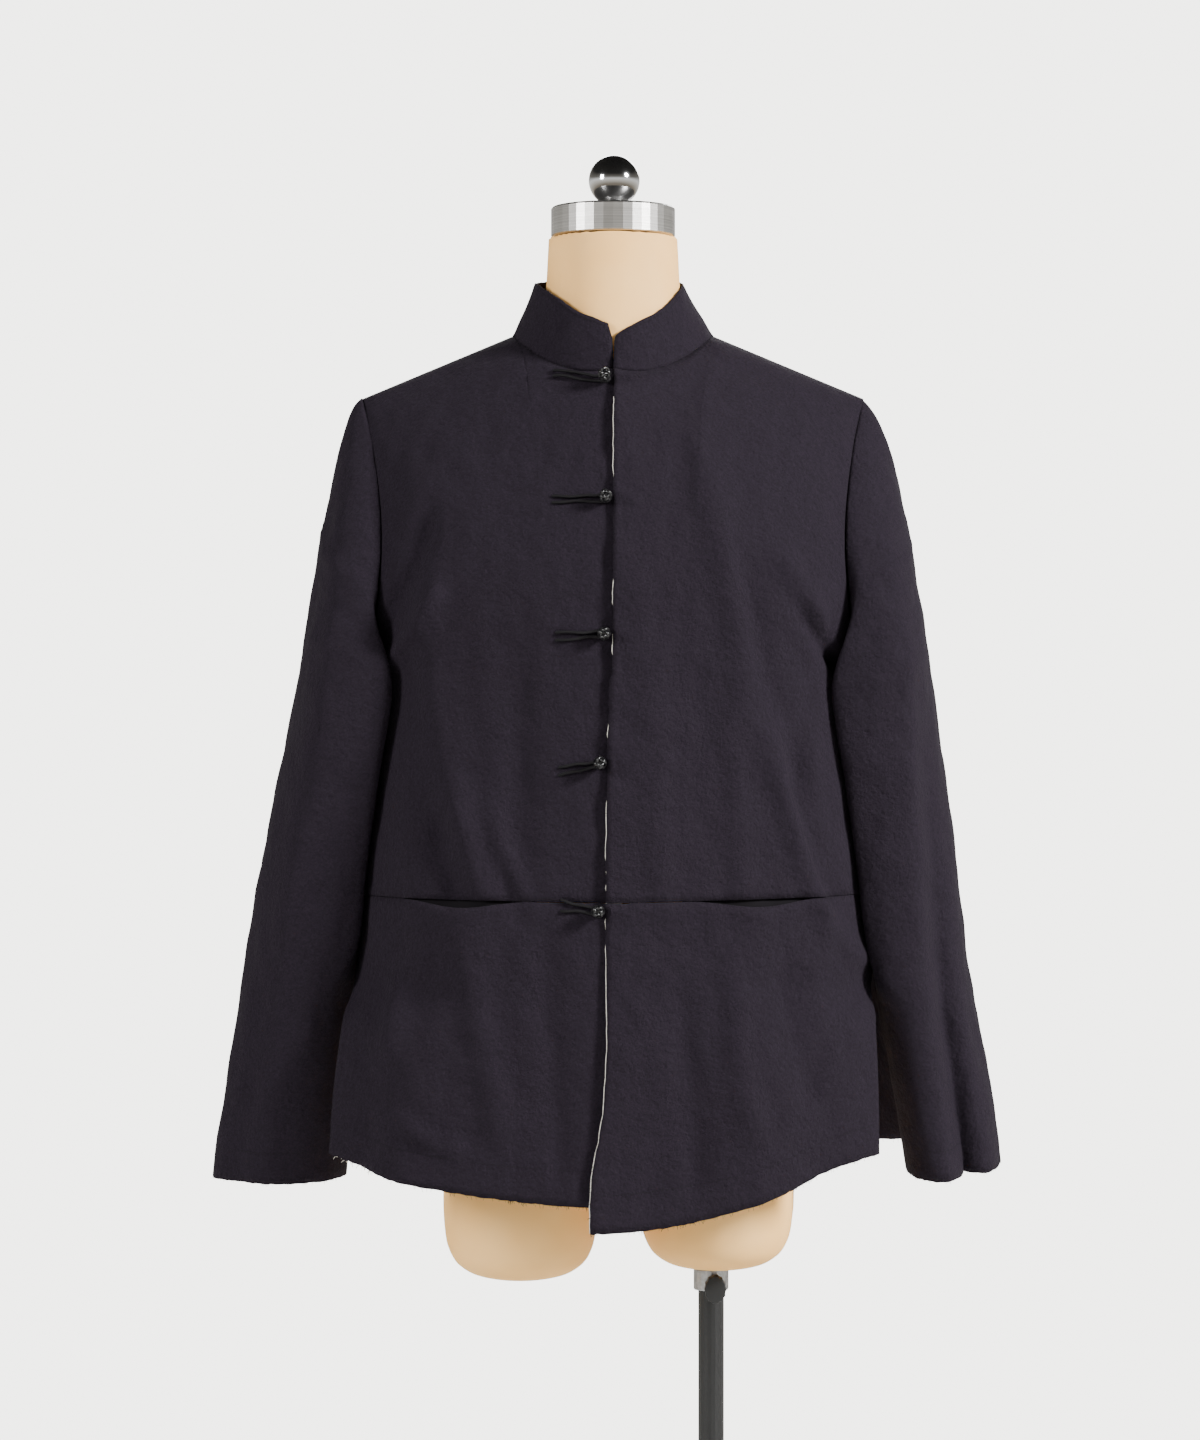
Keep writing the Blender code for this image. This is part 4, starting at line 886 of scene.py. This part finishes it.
# Soft rings of slack: height on the sleeve, which way they face (degrees from outermost),
# how steeply they slant, half-width, and height.
SLEEVE_CREASES = table(
    "z side facing slant spread out",
    (
        (1.255, -1, 95, -0.9, 0.010, 0.0026), (1.215, -1, 100, -0.7, 0.009, -0.0022),
        (1.180, -1, 110, -0.5, 0.009, 0.0022), (1.100, -1, 70, 0.35, 0.014, 0.0016),
        (1.020, -1, 100, 0.45, 0.013, -0.0014), (0.950, -1, 60, 0.30, 0.014, 0.0014),
        (0.870, -1, 110, 0.20, 0.013, 0.0012), (1.060, -1, 240, -0.4, 0.014, 0.0020),
        (0.960, -1, 220, -0.3, 0.013, -0.0018),
        (1.250, 1, 95, -0.9, 0.010, 0.0026), (1.205, 1, 105, -0.7, 0.009, -0.0022),
        (1.160, 1, 110, -0.5, 0.010, 0.0020), (1.080, 1, 80, 0.40, 0.013, 0.0014),
        (0.990, 1, 100, 0.35, 0.013, -0.0012), (0.900, 1, 100, 0.25, 0.013, 0.0012),
        (1.050, 1, 230, -0.4, 0.014, 0.0020), (0.950, 1, 250, -0.3, 0.013, -0.0018),
    ),
)


def sleeve_out(side, columns, seed):
    def out(point):
        x, y = value(columns, "x", point.z), value(columns, "y", point.z)
        around = math.atan2(-(point.y - y), side * point.x - x)
        push = crinkle(point, seed)
        for z, on, facing, slant, spread, height in zip(*SLEEVE_CREASES.values()):
            if on != side:
                continue
            off = (around - math.radians(facing) + math.pi) % (2 * math.pi) - math.pi
            line = point.z - z - slant * 0.06 * off
            push += height * math.exp(-((off / 0.9) ** 2)) * math.exp(-((line / spread) ** 2))
        keep = ease((abs(point.x) - 0.2) / 0.02)
        return push * (0.25 + 0.75 * keep)
    return out


for side, word, columns in ((-1, "right", SLEEVE_RIGHT), (1, "left", SLEEVE_LEFT)):
    sheets[f"sleeve_{word}"] = cloth_sheet(
        f"sleeve_{word}_tube", 2 * CAP_STEPS, TUBE_ROWS + HEAD_ROWS,
        lambda s, r, side=side, columns=columns: sleeve_point(side, columns, s, r),
        cotton, [f"sleeve_{word}"], sleeve_out(side, columns, 20 + side), closed=True,
        fray=[lambda p: p.z < 0.80])

# ---- Collar ----
# A stand collar of two layers, cut as one band and sewn round the neckline. Its ends meet
# at the top knot, and its upper edge is left raw.

COLLAR_CENTRE, COLLAR_HALF = (-0.0035, -0.003), (0.0630, 0.0625)
COLLAR_LIFT, COLLAR_SPLIT = 0.0001, 0.0010
COLLAR_TOP = table(
    "turn left right",
    (
        (0, 1.4500, 1.4640), (10, 1.4590, 1.4690), (22, 1.4660, 1.4740), (45, 1.4790, 1.4890),
        (70, 1.4960, 1.5010), (90, 1.5040, 1.5045), (135, 1.5120, 1.5120), (180, 1.5150, 1.5150),
    ),
)
COLLAR_ROWS = 3


def collar_point(step, row):
    if step <= NECK_STEPS:
        side, front, place = 1, True, step
    elif step <= 3 * NECK_STEPS:
        place = abs(2 * NECK_STEPS - step)
        side, front = (1 if step < 2 * NECK_STEPS else -1), False
    else:
        side, front, place = -1, True, 4 * NECK_STEPS - step
    base = body_point(side, front, *upper_point(side, front, place, CAP_STEPS))
    base = lifted(side, base) if front else base
    end = 1 if step == 0 else -1 if step == 4 * NECK_STEPS else 0
    around = math.degrees(math.atan2(base.x - COLLAR_CENTRE[0], COLLAR_CENTRE[1] - base.y))
    high = value(COLLAR_TOP, "left" if around > 0 else "right", abs(around))
    top = Vector((
        COLLAR_CENTRE[0] + COLLAR_HALF[0] * math.sin(math.radians(around)),
        COLLAR_CENTRE[1] - COLLAR_HALF[1] * math.cos(math.radians(around)), high))
    base += (top - base).normalized() * COLLAR_LIFT
    point = base.lerp(top, row / COLLAR_ROWS)
    point.x += end * COLLAR_SPLIT * (1.7 * row / COLLAR_ROWS - 0.5)
    return point


sheets["collar"] = cloth_sheet(
    "collar_band", 4 * NECK_STEPS, COLLAR_ROWS, collar_point, cotton, ["collar"],
    lambda p: 0.6 * crinkle(p, 31), wall=0.0016, fray=[lambda p: p.z > 1.44],
    hold=lambda step, row: ease(row / 1.4))

# ---- Pocket bags ----
# Plain dark cotton bags hang behind the skirts, and their tops close the pocket mouths from
# inside. Only their cloth in the two mouths shows.

BAG_MARGIN, BAG_BOTTOM, BAG_ABOVE, BAG_DEPTH = 0.006, 1.5, 0.2, 0.0026


def step_at(side, x):
    """The pattern step at which the waist seam is x from the centre."""
    found = [abs(waist(side, step)[1]) for step in range(STEPS + 1)]
    i = max(k for k in range(STEPS) if found[k] <= x or k == 0)
    return i + (x - found[i]) / (found[i + 1] - found[i])


def bag_point(side, step, row):
    if row > SKIRT_ROWS:
        return upper_front(side, step, row - SKIRT_ROWS)
    return lower_front(side, step, row, gaping=False)


# Plain-woven pocketing: flatter and a shade duller than the crepe, its yarns 0.3 mm apart.
lining, lining_shader = surface("dark_cotton_pocketing", 0.92, base="#121013", specular=0.15)
yarns = node(lining, "ShaderNodeTexWave",
             [("Vector", node(lining, "ShaderNodeUVMap", uv_map="weave").outputs["UV"])],
             scale=520.0, distortion=1.2, detail=2.0)
node(lining, "ShaderNodeValToRGB", [("Fac", yarns.outputs["Fac"])],
     lining_shader.inputs["Base Color"], ((0.2, "#0E0C0F"), (0.8, "#171418")))
for side, word, mouth in ((-1, "right", MOUTH_RIGHT), (1, "left", MOUTH_LEFT)):
    first, last = (step_at(side, mouth[0] - BAG_MARGIN), step_at(side, mouth[1] + BAG_MARGIN))
    laid = body_out(True, 3 * side)
    sheets[f"pocket_bag_{word}"] = cloth_sheet(
        f"pocket_{word}_bag", round(last - first, 3), SKIRT_ROWS + BAG_ABOVE - BAG_BOTTOM,
        lambda s, r, side=side, first=first: bag_point(side, first + s, BAG_BOTTOM + r),
        lining, [f"pocket_bag_{word}"], lambda p, laid=laid: laid(p) - BAG_DEPTH, wall=0.0006)

# ---- Left front's facing ----
# A narrow pale strip lies behind the left front's edge. It was cut by hand, so a hair of it
# shows beyond the edge in some stretches and hides behind it in others.

FACING_WIDTH, FACING_SHOWS, FACING_HIDES = 0.013, 0.0007, 0.0004
SHOWING = (
    (0.700, 0.948), (0.956, 0.966), (0.979, 0.983), (0.990, 0.994), (1.000, 1.005),
    (1.014, 1.062), (1.114, 1.126), (1.184, 1.201), (1.226, 1.246), (1.334, 1.4135),
)


def on_cloth(name, across, up, out=0.0):
    """A place on a finished sheet, counted along its fine grid, and moved out of it."""
    kept, count_x, count_y = grids[name]
    i, k = min(max(int(across), 0), count_x - 1), min(max(int(up), 0), count_y - 1)
    u, v = across - i, up - k
    place, normal = Vector(), Vector()
    for near, share in (((i, k), (1 - u) * (1 - v)), ((i + 1, k), u * (1 - v)),
                        ((i, k + 1), (1 - u) * v), ((i + 1, k + 1), u * v)):
        place += kept[near][0] * share
        normal += kept[near][1] * share
    return place + normal.normalized() * out


def facing_point(step, row):
    """Across from where it shows (0) to its inner edge; up from the hem to near the neck."""
    row *= FINE
    if row <= SKIRT_ROWS * FINE:
        name, up = "front_left_skirt", max(row, 0.1)
    else:
        name, up = "front_left_above_waist", row - SKIRT_ROWS * FINE
    behind = -(CLOTH + 0.0006) / 2 - 0.0003
    edge = on_cloth(name, 0.05, up, behind)
    across = (on_cloth(name, 3, up, behind) - edge).normalized()
    far = min(min(abs(edge.z - low), abs(edge.z - high)) if not low < edge.z < high
              else -min(edge.z - low, high - edge.z) for low, high in SHOWING)
    shown = ease(0.5 - far / 0.003)
    uneven = 0.25 * noise.noise(Vector((0, 0, edge.z * 140)))
    start = FACING_HIDES - (FACING_SHOWS + FACING_HIDES) * shown * (1 + uneven)
    return edge + across * (start + step * FACING_WIDTH / 2)


# Unbleached cotton tape: a warm white with a soft nap, its yarns about 0.4 mm apart.
tape, tape_shader = surface("unbleached_cotton_tape", 0.9, base="#E4DFD6")
tape_map = node(tape, "ShaderNodeUVMap", uv_map="weave").outputs["UV"]
yarns = node(tape, "ShaderNodeTexWave", [("Vector", tape_map)], scale=400.0, distortion=1.0)
node(tape, "ShaderNodeValToRGB", [("Fac", yarns.outputs["Fac"])],
     tape_shader.inputs["Base Color"], ((0.2, "#D9D3C8"), (0.8, "#ECE8E0")))
node(tape, "ShaderNodeBump", [("Height", yarns.outputs["Fac"])],
     tape_shader.inputs["Normal"], distance=0.00008, strength=1.0)
sheets["left_front_facing"] = cloth_sheet(
    "left_front_edge_facing", 2, SKIRT_ROWS + SIDE_ROWS + CAP_STEPS - 0.5, facing_point, tape,
    ["left_front_facing"], wall=0.0006)

# ---- Frog fastenings ----
# Five loops of doubled bias tube are sewn to the right front, each round the neck of a button
# knotted from satin cord. Each knot's tail goes down from it through its loop.

CORD, STRANDS, KNOT_BEFORE_EDGE, EYE_HEIGHT = 0.0030, 0.0044, 0.0060, 0.0037
KNOT_CORE, KNOT_CORD, KNOT_WEAVE, KNOT_HEIGHT, KNOT_TURNS = 0.0044, 0.00135, 0.0006, 0.0104, 96
FROGS = table(
    "knot_z end_x end_z spread",
    (
        (1.4150, -0.0500, 1.4225, 0.0026), (1.3136, -0.0507, 1.3136, 0.0024),
        (1.2014, -0.0477, 1.1990, 0.0034), (1.0940, -0.0448, 1.0877, 0.0036),
        (0.9718, -0.0430, 0.9770, 0.0042),
    ),
)


def cords(name, runs, thickness, made, replaces=(), closed=False, rounding=2):
    """Cords along runs of points, as one piece."""
    path = bpy.data.curves.new(name, "CURVE")
    path.dimensions = "3D"
    path.bevel_depth, path.bevel_resolution, path.use_fill_caps = thickness / 2, rounding, True
    for run in runs:
        spline = path.splines.new("POLY")
        spline.points.add(len(run) - 1)
        for spot, point in zip(spline.points, run):
            spot.co = (*point, 1)
        spline.use_cyclic_u = closed
    holder = bpy.data.objects.new(name, path)
    bm = bmesh.new()
    bm.from_mesh(holder.to_mesh())
    holder.to_mesh_clear()
    bpy.data.objects.remove(holder)
    bpy.data.curves.remove(path)
    return piece_from(name, bm, made, replaces)


def on_right_front(x, z, out):
    """A place on the right front's creased cloth, moved out of it, and out of it there."""
    turn, level = turn_of(-x, half_width(-1, True, min(z, CHEST))), level_at(x, z, True)
    here, normal = body_point(-1, True, turn, level), way_out(-1, True, x, z)
    return here + normal * (out + body_out(True, -3)(here)), normal


# Bias tube: the jacket's own cotton, turned and pressed, so it twists a little as it lies.
tube, tube_shader = surface("cotton_bias_tube", 0.7, base="#0C0A0D", specular=0.2)
spot = node(tube, "ShaderNodeTexCoord").outputs["Object"]
creping = node(tube, "ShaderNodeTexNoise", [("Vector", spot)], scale=900.0, detail=3.0)
node(tube, "ShaderNodeBump", [("Height", creping.outputs["Fac"])],
     tube_shader.inputs["Normal"], distance=0.0003, strength=0.8)

# Satin rat-tail cord: black, its floats catching bright soft lines of light along each turn.
satin, satin_shader = surface("black_satin_cord", 0.3, base="#0A090B",
                              anisotropic=0.5, coat_weight=0.25, coat_roughness=0.2)
spot = node(satin, "ShaderNodeTexCoord").outputs["Object"]
floats = node(satin, "ShaderNodeTexNoise", [("Vector", spot)], scale=1600.0, detail=2.0)
node(satin, "ShaderNodeBump", [("Height", floats.outputs["Fac"])],
     satin_shader.inputs["Normal"], distance=0.00012, strength=0.8)

for index, (knot_z, end_x, end_z, spread) in enumerate(zip(*FROGS.values()), start=1):
    x = value(EDGE, "x", knot_z) - KNOT_BEFORE_EDGE
    foot, out = on_right_front(x, knot_z, CLOTH / 2)
    up = Vector((1, 0, 0)).cross(out)
    up *= math.copysign(1, up.z)
    lying = CLOTH / 2 + CORD / 2
    strands = []
    for way in (1, -1):
        strand = []
        for n in range(13):
            part = 1 - n / 15
            apart = STRANDS / 2 + (spread - STRANDS / 2) * max(part * 1.6 - 0.6, 0)
            waver = 0.0005 * math.sin(9 * part + 2 * index + way)
            at_x = x + (end_x - x) * part
            at_z = knot_z + (end_z - knot_z) * part + way * apart + waver
            height = lying - 0.0016 * (n == 0) + 0.0010 * max(0.3 - part, 0) / 0.3
            strand.append(on_right_front(at_x, at_z, height)[0])
        strands.append(strand)
    eye = []
    for angle in range(100, -101, -25):
        swing = math.radians(angle)
        shift = Vector((1, 0, 0)) * math.cos(swing) + up * math.sin(swing)
        eye.append(foot + out * EYE_HEIGHT + shift * (CORD / 2 + 0.0016))
    cords(f"frog_loop_{index}_tube", [strands[0] + eye + strands[1][::-1]], CORD * 0.92, tube,
          [f"frog_loop_{index}"])
    middle = foot + out * KNOT_HEIGHT
    lean = out.rotation_difference(Vector((0, 0, 1))).inverted()
    turned = 40 * index
    run = []
    for n in range(KNOT_TURNS):
        t = 2 * math.pi * n / KNOT_TURNS
        lon, lat = 3 * t + math.radians(turned), 0.98 * math.sin(4 * t)
        far = KNOT_CORE + KNOT_WEAVE * math.sin(8 * t)
        run.append(middle + lean @ Vector((
            far * math.cos(lat) * math.cos(lon), far * math.cos(lat) * math.sin(lon),
            far * math.sin(lat))))
    cords(f"frog_knot_{index}_cord", [run], 2 * KNOT_CORD, satin,
          [f"frog_knot_{index}"], closed=True)
    # The cord's tail fills the knot's heart and goes down through the loop.
    bm = bmesh.new()
    bmesh.ops.create_uvsphere(bm, u_segments=16, v_segments=10, radius=KNOT_CORE - 0.0006)
    bmesh.ops.translate(bm, verts=bm.verts, vec=middle)
    stem = bmesh.ops.create_cone(bm, cap_ends=True, segments=12, radius1=0.0012, radius2=0.0012,
                                 depth=KNOT_HEIGHT - 0.003)["verts"]
    bmesh.ops.rotate(bm, verts=stem, cent=(0, 0, 0), matrix=lean.to_matrix())
    bmesh.ops.translate(bm, verts=stem, vec=foot + out * (KNOT_HEIGHT + 0.001) / 2)
    piece_from(f"frog_knot_{index}_tail", bm, satin)

# ---- Stitching ----
# A row of black thread runs along the cloth beside the raw hem, the cuffs and the collar's
# upper edge. Each stitch is a short arc that dips into the cloth at both its ends.

STITCH, STITCH_PITCH, THREAD = 0.0027, 0.0038, 0.00034
ROW_PARTS = 600           # short straight parts that a row is measured along


def stitched(name, start, end, out):
    """The stitches of a straight row across a sheet's fine grid, from start to end."""
    def along(share, height):
        return on_cloth(name, start[0] + (end[0] - start[0]) * share,
                        start[1] + (end[1] - start[1]) * share, height)

    line = [along(n / ROW_PARTS, out) for n in range(ROW_PARTS + 1)]
    runs, gone, began = [], 0.0, 0
    for n in range(1, ROW_PARTS + 1):
        gone += (line[n] - line[n - 1]).length
        if gone >= STITCH_PITCH:
            last = began + max(round((n - began) * STITCH / STITCH_PITCH), 1)
            lift = along((began + last) / 2 / ROW_PARTS, out + THREAD * 0.7)
            runs.append([line[began], lift, line[last]])
            gone, began = 0.0, n
    return runs


# Spun polyester sewing thread: black, with a slight lustre.
sewing, sewing_shader = surface("black_sewing_thread", 0.75, base="#0A090B", specular=0.15)
twist = node(sewing, "ShaderNodeTexNoise",
             [("Vector", node(sewing, "ShaderNodeTexCoord").outputs["Object"])],
             scale=2500.0, detail=1.0)
node(sewing, "ShaderNodeBump", [("Height", twist.outputs["Fac"])],
     sewing_shader.inputs["Normal"], distance=0.00006, strength=1.0)
for name, low_row, wall in (("front_right_skirt", 4.2, CLOTH), ("front_left_skirt", 4.2, CLOTH),
                            ("back_panel", 4.6, CLOTH), ("sleeve_right_tube", 3.1, CLOTH),
                            ("sleeve_left_tube", 3.1, CLOTH), ("collar_band", 16.6, 0.0016)):
    _, count_x, _ = grids[name]
    cords(f"{name}_stitches",
          stitched(name, (0.5, low_row), (count_x - 0.5, low_row), wall / 2 - 0.0001),
          THREAD, sewing, rounding=0)

# ---- Raw edges ----
# The hems, the cuffs and the collar's upper edge are cut raw, so short ends of yarn stand
# out of them, and a few pale ends hang from the right front's corner.

ragged = random.Random(7)


def frayed(name, places, length, lean):
    """Ends of yarn at places on a sheet's edge, each drooping its own way."""
    runs = []
    for across, up, out in places:
        root = on_cloth(name, across, up)
        away = (out + Vector([ragged.gauss(0, lean) for _ in range(3)])).normalized()
        reach_out = ragged.uniform(0.35, 1) * length
        runs.append([root, root + away * reach_out * 0.5,
                     root + away * reach_out + Vector((0, 0, -0.25 * reach_out))])
    return runs


DOWN, AWAY = Vector((0, 0, -1)), Vector((-1, 0, -0.2))
for name, count, length in (
        ("front_right_skirt", 90, 0.0028), ("front_left_skirt", 110, 0.0028),
        ("back_panel", 110, 0.0026), ("sleeve_right_tube", 80, 0.0022),
        ("sleeve_left_tube", 80, 0.0022)):
    _, count_x, count_y = grids[name]
    places = [(ragged.uniform(0, count_x), 0, DOWN) for _ in range(count)]
    if name == "front_left_skirt":
        places += [(0, ragged.uniform(0, count_y), AWAY) for _ in range(60)]
    cords(f"{name}_frayed_yarns", frayed(name, places, length, 0.45), 0.00022, cotton,
          rounding=0)
_, count_x, count_y = grids["collar_band"]
places = [(ragged.uniform(0, count_x), count_y, -DOWN) for _ in range(80)]
cords("collar_frayed_yarns", frayed("collar_band", places, 0.0014, 0.5), 0.00022, cotton,
      rounding=0)
_, count_x, count_y = grids["front_left_above_waist"]
places = [(0, ragged.uniform(0, count_y * 0.9), AWAY) for _ in range(70)]
cords("left_edge_frayed_yarns", frayed("front_left_above_waist", places, 0.0020, 0.5), 0.00022,
      cotton, rounding=0)
_, count_x, _ = grids["front_right_skirt"]
places = [(ragged.uniform(0.80, 0.98) * count_x, 0, DOWN) for _ in range(16)]
cords("corner_pale_yarns", frayed("front_right_skirt", places, 0.0035, 0.9), 0.0004, tape,
      rounding=0)

# ---- What the cloth is cut to ----
# Each piece of cloth was cut to a size before it was sewn up and hung on the form; no sizes
# are stated here. Two pieces were reshaped after they were measured: the left sleeve's area
# is now 0.226, and the facing is 0.706 long. Two were reshaped after they were measured and
# are out of date here.

# ---- Camera, light and floor ----
# A plain pale studio: the key light stands high on the wearer's left in front, with a weaker
# one on the right and a soft one behind, over a pale floor disc.

CAMERA_PLACE = (-0.0112, -3.538, 1.130)
camera = bpy.data.cameras.new("camera")
camera.lens = 102.86
camera.sensor_width = 36
view = bpy.data.objects.new("camera", camera)
view.location = CAMERA_PLACE
view.rotation_euler = (math.radians(90), 0, 0)
bpy.context.scene.collection.objects.link(view)
bpy.context.scene.camera = view


def soft_light(name, place, target, size, watts):
    lamp = bpy.data.lights.new(name, "AREA")
    lamp.shape = "RECTANGLE"
    lamp.size, lamp.size_y = size
    lamp.energy = watts
    obj = bpy.data.objects.new(name, lamp)
    obj.location = place
    obj.rotation_euler = (Vector(target) - Vector(place)).to_track_quat("-Z", "Y").to_euler()
    bpy.context.scene.collection.objects.link(obj)


soft_light("key", (2.9, -1.7, 2.7), (0, 0, 1.05), (0.7, 0.7), 340)
soft_light("side", (-3.0, -1.9, 2.3), (0, 0, 1.05), (0.8, 1.0), 130)
soft_light("rear", (0.5, 3.0, 2.8), (0, 0, 1.1), (2.0, 1.2), 60)

# The room is pale all round where it is seen; the light that it gives comes from above.
world = bpy.data.worlds.new("studio")
world.use_nodes = True
sky = world.node_tree.nodes["Background"]
sky.inputs["Color"].default_value = colour("#E6E5E1")
sky.inputs["Strength"].default_value = 5.6
around = node(world, "ShaderNodeTexCoord").outputs["Generated"]
height = node(world, "ShaderNodeSeparateXYZ", [(0, around)]).outputs["Z"]
lift = node(world, "ShaderNodeMapRange", [("Value", height)],
            from_min=-0.6, from_max=1.0, to_min=0.16, to_max=0.85)
glow = node(world, "ShaderNodeBackground", [("Strength", lift.outputs["Result"])],
            color=colour("#F2F1EE"))

# Polished metal sees a dim room with one bright window band at its own height.
turned = node(world, "ShaderNodeMapRange", [("Value", height)], from_min=-1.0)
band = node(world, "ShaderNodeValToRGB", [("Fac", turned.outputs["Result"])],
            shades=((0.0, "#4A463F"), (0.34, "#8E8577"), (0.46, "#D8D2C6"), (0.53, "#F7F6F2"),
                    (0.60, "#77736C"), (0.72, "#2C2A28"), (1.0, "#1B1A19")))
mirrored = node(world, "ShaderNodeBackground", [("Color", band.outputs["Color"])], strength=1.1)
rays = node(world, "ShaderNodeLightPath").outputs
sharp = node(world, "ShaderNodeMixShader",
             [(0, rays["Is Glossy Ray"]), (1, glow.outputs[0]), (2, mirrored.outputs[0])])
node(world, "ShaderNodeMixShader",
     [(0, rays["Is Camera Ray"]), (1, sharp.outputs[0]), (2, sky.outputs[0])],
     world.node_tree.nodes["World Output"].inputs["Surface"])
bpy.context.scene.world = world

bm = bmesh.new()
bmesh.ops.create_circle(bm, cap_ends=True, segments=96, radius=2.8)
bmesh.ops.translate(bm, verts=bm.verts, vec=(0, 0, -0.0005))
mesh = bpy.data.meshes.new("floor")
bm.to_mesh(mesh)
bm.free()
# Painted board: pale and matt, with a faint mottle of about 30 mm.
paint, paint_shader = surface("painted_board", 0.8, base="#DCDCD8")
spot = node(paint, "ShaderNodeTexCoord").outputs["Object"]
mottle = node(paint, "ShaderNodeTexNoise", [("Vector", spot)], scale=30.0, detail=3.0)
node(paint, "ShaderNodeValToRGB", [("Fac", mottle.outputs["Fac"])],
     paint_shader.inputs["Base Color"], ((0.3, "#D9D9D5"), (0.7, "#DFDFDB")))
mesh.materials.append(paint)
floor = bpy.data.objects.new("floor", mesh)
bpy.context.scene.collection.objects.link(floor)
